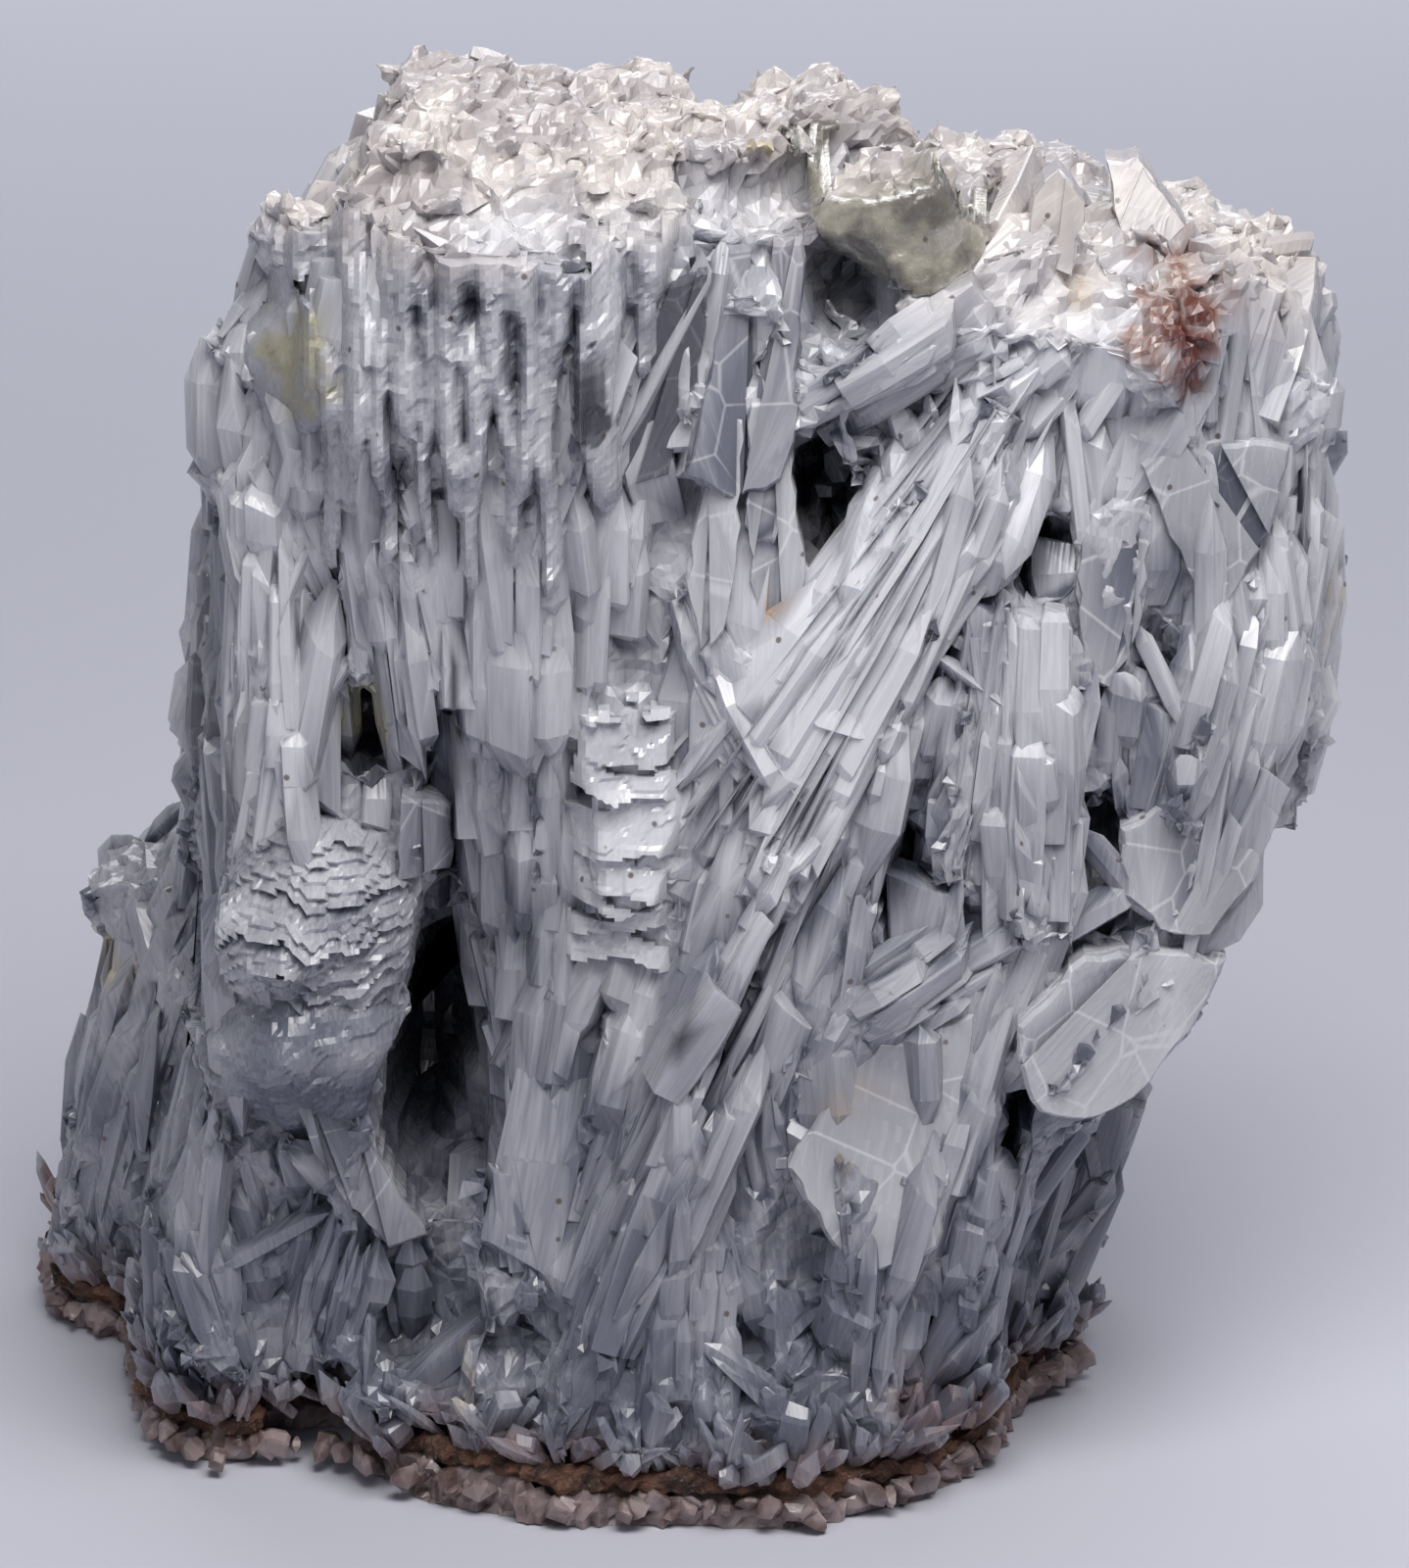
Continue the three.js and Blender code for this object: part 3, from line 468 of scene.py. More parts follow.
HOLLOWS = (
    # The black cavity, the crevice above it and the olive pocket beside it
    Hollow(-20.8, 31.5, 2.5, 8.4, 8, 9.0),
    Hollow(-18.9, 56.5, 0.75, 10.5, 4, 3.6),
    Hollow(-25.4, 59.0, 1.6, 3.0, -8, 2.0),
    # Deep gaps of the lower half
    Hollow(14.9, 48.6, 1.3, 4.2, 6, 5.0),
    Hollow(23.6, 28.4, 0.9, 4.0, 10, 4.0),
    Hollow(-11.2, 25.4, 0.9, 3.6, -6, 2.6),
    Hollow(-8.8, 33.4, 1.1, 4.4, 12, 2.4),
    Hollow(6.6, 20.2, 2.6, 4.6, 20, 1.4),
    Hollow(1.8, 37.0, 0.7, 5.0, 22, 1.8),
    Hollow(-4.2, 22.0, 0.7, 5.0, 24, 1.8),
    Hollow(18.4, 33.6, 0.6, 4.6, 18, 1.8),
    # Dark places right of the middle
    Hollow(24.4, 72.2, 1.9, 2.6, 0, 3.0),
    Hollow(29.4, 49.8, 1.8, 4.4, 6, 2.4),
    Hollow(28.2, 60.6, 0.9, 1.3, 0, 1.8),
    Hollow(34.2, 64.6, 0.8, 3.8, -30, 1.8),
    # The recess under the grey pocket, the slits beside the blue plate and the lens in the middle
    Hollow(10.2, 91.0, 2.4, 2.8, -30, 3.0),
    Hollow(8.4, 79.4, 0.7, 5.6, 12, 2.6),
    Hollow(10.8, 76.6, 0.7, 4.2, 24, 2.6),
    Hollow(-1.4, 66.4, 0.65, 4.0, 3, 2.0),
    # Gaps between the hanging blades of the upper left
    Hollow(-17.4, 93.6, 0.7, 2.6, 8, 1.6),
    Hollow(-13.6, 90.6, 0.7, 3.0, 0, 1.6),
    Hollow(-22.8, 79.0, 1.2, 3.2, 14, 2.2),
    Hollow(-36.2, 57.0, 0.7, 7.0, 4, 1.8),
    # Hollows just above the seam
    Hollow(-14.4, 12.2, 2.2, 1.8, 20, 2.2),
    Hollow(3.2, 12.2, 1.4, 2.2, 0, 2.2),
    Hollow(8.4, 13.4, 1.2, 1.4, 0, 2.0),
    Hollow(17.4, 12.4, 1.7, 1.8, -20, 2.0),
)


def hollow_shares(across, up):
    """How far each place of the front is into each hollow: 1 in its middle, 0 outside."""
    for hollow in HOLLOWS:
        turn = math.radians(hollow.lean)
        x, z = across - hollow.x, up - hollow.z
        aside = (x * math.cos(turn) - z * math.sin(turn)) / hollow.wide
        along = (x * math.sin(turn) + z * math.cos(turn)) / hollow.high
        away = np.clip((1.3 - np.hypot(aside, along)) / 0.6, 0, 1)
        yield hollow, away * away * (3 - 2 * away)


def sunk(points, normals):
    """Points of the front pushed back into its hollows."""
    depth = np.zeros(len(points))
    for hollow, share in hollow_shares(points[:, 0], points[:, 2]):
        depth = np.maximum(depth, share * hollow.depth)
    facing = np.clip(-normals[:, 1] * 2 + 0.6, 0, 1) * (points[:, 1] < 0)
    return points + np.outer(depth * facing, (0.0, 1.0, 0.0))


def softened_body(voxel, shrink):
    """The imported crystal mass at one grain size, drawn in, with its hollows."""
    mesh = remeshed(merged_copy("crystal_mass"), voxel, 3, shrink)
    set_points(mesh, to_frame(sunk(points_of(mesh), normals_of(mesh))))
    return mesh


# The skin that crystals are laid on

# How far and with how many rays the skin's shut-in measure looks. It keeps small crystals out of deep hollows
# and sets the painted hollow shade
HOLLOW_RAYS = 10
HOLLOW_REACH = 15.0

# A look that misses the body is drawn in towards the middle by this share, again and again

TRIES = 24
DRAWN_IN = 0.012


class Skin:
    """A soft copy of the crystal body, in specimen millimetres, that crystals are laid on."""

    def __init__(self, mesh):
        self.points = points_of(mesh)
        self.normals = normals_of(mesh)
        polygons = [tuple(polygon.vertices) for polygon in mesh.polygons]
        self.tree = BVHTree.FromPolygons([Vector(point) for point in self.points], polygons)
        shut = closeness(self.tree, self.points, self.normals, HOLLOW_REACH, HOLLOW_RAYS)
        self.hollow = self.spread(mesh, shut)
        self.near = KDTree(len(self.points))
        for number, point in enumerate(self.points):
            self.near.insert(point, number)
        self.near.balance()

    def spread(self, mesh, values):
        """Values at the mesh's points, evened out with their neighbours."""
        pairs = np.empty(len(mesh.edges) * 2, dtype=np.int32)
        mesh.edges.foreach_get("vertices", pairs)
        first, second = pairs.reshape(-1, 2).T
        links = np.maximum(np.bincount(pairs, minlength=len(values)), 1)
        for _ in range(4):
            total = np.bincount(first, values[second], len(values))
            total += np.bincount(second, values[first], len(values))
            values = 0.4 * values + 0.6 * total / links
        return values

    def hollows_at(self, points):
        """How deep in a hollow the skin is nearest to each point."""
        return np.array([self.hollow[self.near.find(point)[1]] for point in np.asarray(points).tolist()])

    def seen_at(self, side, across, up):
        """Where the skin is seen at (across, up) from a side, and its normal there."""
        for step in range(TRIES):
            share = 1 - step * DRAWN_IN
            start = side.right * across * share + UP * up * share + side.out * FAR
            place = self.tree.ray_cast(start.tolist(), (-side.out).tolist())
            if place[0] is not None:
                return np.array(place[0]), np.array(place[1])
        return None, None


FARTHEST_TURN = math.radians(14)


def bundle_field(bundles, flat):
    """For each row (across, up): the nearest bundle's number, its lean in radians turned a little
    towards those of its neighbours, and the milk there."""
    flat = np.atleast_2d(flat)
    gaps = np.empty((len(bundles), len(flat)))
    for number, bundle in enumerate(bundles):
        lean = math.radians(bundle.lean)
        way = np.array((math.sin(lean), math.cos(lean)))
        start = np.array((bundle.x, bundle.z))
        reach = np.clip((flat - start) @ way, 0, bundle.length)
        away = np.linalg.norm(start + reach[:, None] * way - flat, axis=1)
        gaps[number] = np.maximum(away - bundle.tip * 0.35, 0)
    choice = gaps.argmin(axis=0)
    leans = np.radians([bundle.lean for bundle in bundles])
    weights = 1 / (gaps + 1.2) ** 3
    weights /= weights.sum(axis=0)
    doubled = np.arctan2(weights.T @ np.sin(2 * leans), weights.T @ np.cos(2 * leans)) / 2
    own = leans[choice]
    turned = own + np.clip(np.arctan(np.tan(doubled - own)), -FARTHEST_TURN, FARTHEST_TURN)
    milk = weights.T @ np.array([bundle.milk for bundle in bundles])
    return choice, turned, milk


def surface_field(points, normals):
    """The way of growth and the milk at points of the surface, from the side that each faces."""
    ways = np.zeros(points.shape)
    milk = np.zeros(len(points))
    facing = np.array([normals @ side.out for side in SIDES.values()]).argmax(axis=0)
    for turn, (name, side) in enumerate(SIDES.items()):
        here = np.nonzero(facing == turn)[0]
        if len(here):
            flat = np.stack((points[here] @ side.right, points[here][:, 2]), axis=1)
            leans, milk[here] = bundle_field(BUNDLES[name], flat)[1:]
            ways[here] = np.outer(np.sin(leans), side.right) + np.outer(np.cos(leans), UP)
    return ways, milk


# Crystal templates: one unit long up +Z, one wide along X and one thick along Y. Each is the hull of a
# few cuts, so its faces are flat and its edges sharp. A cut is its place along the crystal, its width
# and its thickness; the section is the shape of every cut.

SECTIONS = {
    "blade": ((-0.5, -0.1), (-0.3, 0.46), (0.28, 0.5), (0.5, -0.05), (0.2, -0.5), (-0.2, -0.5)),
    "block": ((-0.5, -0.4), (-0.5, 0.3), (-0.34, 0.5), (0.4, 0.5), (0.5, 0.34), (0.5, -0.4)),
    "ridge": ((-0.5, -0.1), (-0.08, 0.5), (0.5, -0.05), (0.0, -0.5)),
    "leaf": ((-0.5, 0.0), (-0.2, 0.42), (0.22, 0.5), (0.5, 0.0), (0.0, -0.5)),
}
CUTS = {
    LATH: ("blade", ((0.0, 0.6, 0.4), (0.3, 1.0, 0.95), (0.84, 0.92, 0.9), (1.0, 0.5, 0.2))),
    PRISM: ("block", ((0.0, 0.8, 0.6), (0.4, 1.0, 1.0), (0.93, 0.94, 0.94), (1.0, 0.7, 0.6))),
    NEEDLE: ("ridge", ((0.0, 0.7, 0.6), (0.4, 1.0, 1.0), (0.88, 0.6, 0.7), (1.0, 0.2, 0.2))),
    LEAF: ("leaf", ((0.0, 0.25, 0.3), (0.3, 0.9, 0.9), (0.62, 1.0, 1.0), (1.0, 0.1, 0.1))),
    STEPPED: ("block", ((0.0, 0.9, 0.7), (0.5, 1.0, 1.0), (1.0, 0.95, 0.8))),
    FLAKE: ("leaf", ((0.0, 0.4, 0.4), (0.4, 1.0, 1.0), (0.8, 0.85, 0.8), (1.0, 0.35, 0.3))),
}


def hull_template(name, section, cuts, rng):
    """A closed crystal with flat faces, a slanting tip and a lean of its own."""
    form = bmesh.new()
    corners = [(x + rng.uniform(-0.09, 0.09), y + rng.uniform(-0.1, 0.1)) for x, y in section]
    slant = rng.uniform(-0.16, 0.16)
    sway = rng.uniform(-0.12, 0.12)
    for place, width, thickness in cuts:
        for x, y in corners:
            across = x * width + sway * place * place
            tip = slant * x * (place > 0.7) - 0.08 * y * (place > 0.9)
            form.verts.new((across, y * thickness, place + tip))
    bmesh.ops.convex_hull(form, input=form.verts)
    bmesh.ops.delete(form, geom=[vert for vert in form.verts if not vert.link_faces], context="VERTS")
    bmesh.ops.dissolve_limit(form, angle_limit=math.radians(4), verts=form.verts, edges=form.edges)
    bmesh.ops.recalc_face_normals(form, faces=form.faces)
    return mesh_of(form, name)


def crystal_templates():
    """A collection of crystal templates, VARIANTS of each kind, in the order of the kinds."""
    collection = bpy.data.collections.new("crystal_templates")
    rng = np.random.default_rng(3)
    for kind, (section, cuts) in CUTS.items():
        for variant in range(VARIANTS):
            name = f"template_{kind * VARIANTS + variant:02d}"
            mesh = hull_template(name, SECTIONS[section], cuts, rng)
            collection.objects.link(bpy.data.objects.new(name, mesh))
    return collection


LUMP_SHAPES = 8


def lump_templates():
    """A collection of small broken lumps for the crust and the druse."""
    collection = bpy.data.collections.new("lump_templates")
    rng = np.random.default_rng(4)
    for variant in range(LUMP_SHAPES):
        form = bmesh.new()
        points = rng.normal(size=(12, 3))
        points /= np.linalg.norm(points, axis=1)[:, None]
        points *= rng.uniform(0.36, 0.55, (12, 1)) * np.array((1.0, 0.8, 1.0 + 0.7 * (variant % 2)))
        corners = [form.verts.new(point) for point in points]
        bmesh.ops.convex_hull(form, input=corners)
        name = f"lump_{variant:02d}"
        collection.objects.link(bpy.data.objects.new(name, mesh_of(form, name)))
    return collection


# Geometry Nodes that set crystals and lumps in place


def node_group(name, inputs, output):
    """An empty Geometry Nodes group, with the nodes that hold its inputs and its output."""
    tree = bpy.data.node_groups.new(name, "GeometryNodeTree")
    for title, kind, *value in inputs:
        socket = tree.interface.new_socket(name=title, in_out="INPUT", socket_type="NodeSocket" + kind)
        if value:
            socket.default_value = value[0]
    tree.interface.new_socket(name=output, in_out="OUTPUT", socket_type="NodeSocketGeometry")
    return tree, tree.nodes.new("NodeGroupInput"), tree.nodes.new("NodeGroupOutput")


def tree_node(tree, kind, inputs=None, **settings):
    """Adds a node, sets it up and joins or fills its inputs, by name or number."""
    node = tree.nodes.new(kind)
    for name, value in settings.items():
        setattr(node, name, value)
    for key, value in (inputs or {}).items():
        if isinstance(value, bpy.types.NodeSocket):
            tree.links.new(value, node.inputs[key])
        else:
            node.inputs[key].default_value = value
    return node


def random_float(tree, low, high, seed):
    """A random number from low to high for every point."""
    node = tree_node(tree, "FunctionNodeRandomValue", {2: low, 3: high, "Seed": seed})
    return node.outputs[1]


def each_template(tree, source):
    """The templates of the group's collection as instances to pick from."""
    inputs = {
        "Collection": source.outputs["Templates"], "Separate Children": True, "Reset Children": True
    }
    return tree_node(tree, "GeometryNodeCollectionInfo", inputs).outputs[0]


def finish_instances(tree, instances, source, result):
    """Makes instances real, gives them the group's material and passes them on."""
    real = tree_node(tree, "GeometryNodeRealizeInstances", {"Geometry": instances})
    inputs = {"Geometry": real.outputs[0], "Material": source.outputs["Material"]}
    painted = tree_node(tree, "GeometryNodeSetMaterial", inputs)
    tree.links.new(painted.outputs[0], result.inputs[0])


def crystal_tree():
    """Sets a crystal on every point, along its own direction and rolled a little at random, and joins
    them all, with the part of the body that is inside a box, into one closed skin."""
    sockets = (
        ("Points", "Geometry"),
        ("Templates", "Collection"),
        ("Joins body", "Bool", False),
        ("Body", "Object"),
        ("Box size", "Vector", (1.0, 1.0, 1.0)),
        ("Box middle", "Vector", (0.0, 0.0, 0.0)),
        ("Roll spread", "Float", 0.5),
        ("Size", "Float", 1.0),
        ("Seed", "Int", 1),
        ("Material", "Material"),
    )
    tree, source, result = node_group("grow_crystals", sockets, "Crystals")

    def attribute(name, data_type="FLOAT_VECTOR"):
        node = tree_node(tree, "GeometryNodeInputNamedAttribute", {"Name": name}, data_type=data_type)
        return node.outputs[0]

    along = attribute("along")
    outward = attribute("outward")
    standing = tree_node(tree, "FunctionNodeAlignRotationToVector", {"Vector": along}, axis="Z")
    facing = tree_node(
        tree,
        "FunctionNodeAlignRotationToVector",
        {"Rotation": standing.outputs[0], "Vector": outward},
        axis="Y",
        pivot_axis="Z",
    )
    spread = source.outputs["Roll spread"]
    low = tree_node(tree, "ShaderNodeMath", {0: spread, 1: -1.0}, operation="MULTIPLY").outputs[0]
    angle = random_float(tree, low, spread, source.outputs["Seed"])
    roll = tree_node(tree, "FunctionNodeAxisAngleToRotation", {"Axis": (0, 0, 1), "Angle": angle})
    turned = tree_node(
        tree,
        "FunctionNodeRotateRotation",
        {"Rotation": facing.outputs[0], "Rotate By": roll.outputs[0]},
        rotation_space="LOCAL",
    )
    templates = each_template(tree, source)
    size = tree_node(
        tree,
        "ShaderNodeVectorMath",
        {0: attribute("size"), "Scale": source.outputs["Size"]},
        operation="SCALE",
    )
    instances = tree_node(
        tree,
        "GeometryNodeInstanceOnPoints",
        {
            "Points": source.outputs["Points"],
            "Instance": templates,
            "Pick Instance": True,
            "Instance Index": attribute("template", "INT"),
            "Rotation": turned.outputs[0],
            "Scale": size.outputs[0],
        },
    )
    body = tree_node(tree, "GeometryNodeObjectInfo", {"Object": source.outputs["Body"]})
    cube = tree_node(tree, "GeometryNodeMeshCube", {"Size": source.outputs["Box size"]})
    box = tree_node(
        tree,
        "GeometryNodeTransform",
        {"Geometry": cube.outputs[0], "Translation": source.outputs["Box middle"]},
    )

    def solid(operation, first, second):
        node = tree_node(
            tree, "GeometryNodeMeshBoolean", {1: first}, operation=operation, solver="MANIFOLD"
        )
        tree.links.new(second, node.inputs[1])
        return node.outputs[0]

    kept = tree_node(
        tree,
        "GeometryNodeSwitch",
        {
            "Switch": source.outputs["Joins body"],
            "True": solid("INTERSECT", body.outputs["Geometry"], box.outputs[0]),
        },
        input_type="GEOMETRY",
    )
    joined = solid("UNION", kept.outputs[0], instances.outputs[0])
    finish_instances(tree, joined, source, result)
    return tree


FULL_TURN = 6.28


def lump_tree():
    """Strews lumps evenly over the part of a surface where its attribute cover is over a half."""
    sockets = (
        ("Surface", "Geometry"),
        ("Templates", "Collection"),
        ("Spacing", "Float", 0.001),
        ("Density", "Float", 500000.0),
        ("Smallest", "Float", 0.0006),
        ("Largest", "Float", 0.002),
        ("Seed", "Int", 1),
        ("Material", "Material"),
    )
    tree, source, result = node_group("strew_lumps", sockets, "Lumps")
    cover = tree_node(
        tree, "GeometryNodeInputNamedAttribute", {"Name": "cover"}, data_type="FLOAT"
    ).outputs[0]
    covered = tree_node(
        tree, "FunctionNodeCompare", {0: cover, 1: 0.5}, data_type="FLOAT", operation="GREATER_THAN"
    )
    strewn = tree_node(
        tree,
        "GeometryNodeDistributePointsOnFaces",
        {
            "Mesh": source.outputs["Surface"],
            "Selection": covered.outputs[0],
            "Distance Min": source.outputs["Spacing"],
            "Density Max": source.outputs["Density"],
            "Seed": source.outputs["Seed"],
        },
        distribute_method="POISSON",
    )
    templates = each_template(tree, source)
    size = random_float(tree, source.outputs["Smallest"], source.outputs["Largest"], 11)
    turn = tree_node(
        tree,
        "FunctionNodeRandomValue",
        {1: (FULL_TURN,) * 3, "Seed": 12},
        data_type="FLOAT_VECTOR",
    )
    roll = tree_node(tree, "FunctionNodeEulerToRotation", {0: turn.outputs[0]})
    pick = tree_node(
        tree, "FunctionNodeRandomValue", {4: 0, 5: LUMP_SHAPES - 1, "Seed": 13}, data_type="INT"
    )
    instances = tree_node(
        tree,
        "GeometryNodeInstanceOnPoints",
        {
            "Points": strewn.outputs["Points"],
            "Instance": templates,
            "Pick Instance": True,
            "Instance Index": pick.outputs[2],
            "Rotation": roll.outputs[0],
            "Scale": size,
        },
    )
    finish_instances(tree, instances.outputs[0], source, result)
    return tree


def grown_mesh(name, source_mesh, tree, inputs):
    """Runs a tree on a mesh with its named inputs and returns the plain result."""
    thing = add_object(name + "_source", source_mesh)
    modifier = thing.modifiers.new("grow", "NODES")
    modifier.node_group = tree
    for socket in tree.interface.items_tree:
        if socket.name in inputs:
            modifier[socket.identifier] = inputs[socket.name]
    result = evaluated_mesh(thing, name)
    bpy.data.objects.remove(thing)
    move_points(result, points_of(result))
    shade(result, False)
    return result


# Laying crystals: plain arrays of places, directions, sizes and tints for the tree above


class CrystalBed:
    """Collects crystals, one row each, and turns them into the tree's points."""

    def __init__(self, rows=()):
        self.rows = list(rows)

    def add(self, root, tip, outward, width, thickness, template):
        """Adds one crystal."""
        self.rows.append((root, tip, outward, width, thickness, template))

    def part(self, kept):
        """The crystals whose middle is on one side of the cut between the front and the rest."""
        return CrystalBed(row for row in self.rows if kept((row[0][1] + row[1][1]) / 2))

    def points_mesh(self, name):
        """A mesh with a point at every crystal's root and its numbers as attributes."""
        roots = np.array([row[0] for row in self.rows])
        reach = np.array([row[1] for row in self.rows]) - roots
        lengths = np.linalg.norm(reach, axis=1)
        mesh = bpy.data.meshes.new(name + "_points")
        mesh.from_pydata([tuple(point) for point in to_frame(roots)], [], [])
        widths = np.array([row[3] for row in self.rows])
        thicknesses = np.array([row[4] for row in self.rows])
        vectors = {
            "along": reach / lengths[:, None],
            "outward": np.array([row[2] for row in self.rows]),
            "size": np.stack((widths, thicknesses, lengths), axis=1) * MM,
        }
        for key, values in vectors.items():
            layer = mesh.attributes.new(key, "FLOAT_VECTOR", "POINT")
            layer.data.foreach_set("vector", values.astype(np.float32).ravel())
        layer = mesh.attributes.new("template", "INT", "POINT")
        layer.data.foreach_set("value", np.array([row[5] for row in self.rows], dtype=np.int32))
        return mesh


THICKNESS = {LATH: 0.6, PRISM: 0.9, NEEDLE: 1.0, LEAF: 0.5, STEPPED: 0.7, FLAKE: 0.5}
THINNEST = 1.6
ROOTED = 1.1

# How far the skin may sag, bulge and lean in or out under a crystal

DEEPEST_SAG = 1.0
HIGHEST_BULGE = 2.2
STEEPEST = 0.6
STEEPEST_FILLER = 0.9 * STEEPEST

# Where in its bundle a crystal starts and ends, and how far up it stands, for the three layers

LAYERS = (
    ((0.0, 0.1), (0.8, 1.0), 0.35),
    ((0.0, 0.4), (0.55, 0.95), 0.7),
    ((0.25, 0.6), (0.8, 1.04), 1.0),
)
# How far a bundle's middle stands out, how much lower its edges lie, how often the way of a crystal is
# looked at, and its narrowest width and the widest beside that, as shares

STANDING = 0.72
CROWN_FALL = 1.8
BUNDLE_STATIONS = 7
NARROWEST, WIDTH_SPREAD = 0.7, 3.2


def pick_template(kind, rng):
    """The number of one of a kind's templates."""
    return kind * VARIANTS + int(rng.integers(VARIANTS))


def lay_bundle(bed, skin, side, bundle, taken, rng):
    """Lays one bundle: crystals in three staggered layers that fan out and follow the skin, highest
    in its middle, and end where the skin falls away under them."""
    lean = math.radians(bundle.lean)
    way = np.array((math.sin(lean), math.cos(lean)))
    cross = np.array((math.cos(lean), -math.sin(lean)))
    for number in range(bundle.count):
        place = (number + rng.uniform(0.1, 0.9)) / bundle.count - 0.5
        starts, ends, height = LAYERS[number % 3]
        start = rng.uniform(*starts)
        end = rng.uniform(*ends)
        draws = rng.uniform(size=4)
        flats = []
        for share in np.linspace(start, end, BUNDLE_STATIONS):
            width = bundle.root + (bundle.tip - bundle.root) * share
            spine = np.array((bundle.x, bundle.z)) + way * share * bundle.length
            flats.append(spine + cross * place * width)
        if any(kept_free(taken, side, *flat) for flat in flats[1:]):
            continue
        spots = [skin.seen_at(side, *flat)[0] for flat in flats[::3]]
        if any(spot is None for spot in spots):
            continue
        root, middle, tip = spots
        bulge = (middle - (root + tip) / 2) @ side.out
        if bulge > HIGHEST_BULGE or abs((tip - root) @ side.out) > STEEPEST * np.linalg.norm(tip - root):
            continue
        if bulge < -DEEPEST_SAG:
            tip = middle
        crown = 1 - CROWN_FALL * place * place
        lift = max(0.0, bulge) + bundle.proud * STANDING * crown * height * (0.6 + 0.6 * draws[0])
        width = bundle.width * NARROWEST * WIDTH_SPREAD ** draws[1]
        thickness = max(THINNEST, width * THICKNESS[bundle.kind], lift + ROOTED)
        bed.add(
            root + side.out * (lift * 0.6 - thickness * 0.5 - 0.3),
            tip + side.out * (lift - thickness * 0.5 + 0.5 * draws[2] - 0.2),
            side.out,
            width,
            thickness,
            pick_template(bundle.kind, rng),
        )


# The small crystals between the bundles take their kind from the bundle beside them

COMPANIONS = {
    LATH: (LATH, FLAKE, LATH, STEPPED),
    PRISM: (PRISM, STEPPED, LATH, PRISM),
    NEEDLE: (NEEDLE, LATH, NEEDLE, NEEDLE),
    LEAF: (LEAF, FLAKE, LATH, LEAF),
    STEPPED: (STEPPED, FLAKE, PRISM, FLAKE),
}

Filler = namedtuple("Filler", "left right low high step length proud wander")

FILLERS = {
    "front": Filler(-43, 49, 5, 99, 2.3, 11.0, 1.1, 6),
    "back": Filler(-46, 48, 6, 97, 3.1, 13.0, 1.2, 8),
    "left": Filler(-36, 22, 6, 97, 3.1, 13.0, 1.1, 8),
    "right": Filler(-28, 34, 6, 92, 3.1, 13.0, 1.1, 8),
}
# Where small crystals may root, how far off their tips may be, how wide they are, and the places on
# their way that have to be free

DEEPEST_FILLER = 0.62
LEAST_FACING = 0.3
FARTHEST_TIP = 1.3
FILLER_NARROWEST, FILLER_WIDTH_SPREAD = 0.6, 4.5
FILLER_WIDTHS = (1.1, 5.6)
STATIONS = (0.2, 0.4, 0.6, 0.8, 1.0)


def inside(outline, x, z):
    """Whether a point is inside an outline."""
    crossings = 0
    for (x0, z0), (x1, z1) in zip(outline, outline[1:] + outline[:1]):
        if (z0 > z) != (z1 > z) and x < x0 + (z - z0) / (z1 - z0) * (x1 - x0):
            crossings += 1
    return crossings % 2 == 1


# The grid of free_map, and what it leaves to plates, reliefs and hollows

MAP_STEP = 0.5
MAP_LEFT = -60
MAP_SIZE = (241, 231)
PLATE_CLEARING = 0.66
RELIEF_CLEARING = 0.1
HOLLOW_CLEARING = 0.2


def free_map():
    """Which places of the front, on a fine grid, a plate, a relief or a hollow needs for itself."""
    across, up = np.meshgrid(
        MAP_LEFT + MAP_STEP * np.arange(MAP_SIZE[0]), MAP_STEP * np.arange(MAP_SIZE[1]), indexing="ij"
    )
    taken = np.zeros(across.shape, dtype=bool)
    for relief in RELIEFS:
        taken |= relief.height(across, up) > RELIEF_CLEARING
    for _, share in hollow_shares(across, up):
        taken |= share > HOLLOW_CLEARING
    for plate in PLATES:
        middle = np.mean(plate.outline, axis=0)
        outline = [tuple(middle + (np.array(corner) - middle) * PLATE_CLEARING) for corner in plate.outline]
        xs, zs = zip(*outline)
        near = (across > min(xs)) & (across < max(xs)) & (up > min(zs)) & (up < max(zs))
        for place in zip(*np.nonzero(near)):
            taken[place] |= inside(outline, across[place], up[place])
    return taken


def kept_free(taken, side, x, z):
    """Whether the map keeps crystals off a place of the front."""
    if side is not SIDES["front"]:
        return False
    column = int(round((x - MAP_LEFT) / MAP_STEP))
    row = int(round(z / MAP_STEP))
    return bool(taken[np.clip(column, 0, MAP_SIZE[0] - 1), np.clip(row, 0, MAP_SIZE[1] - 1)])


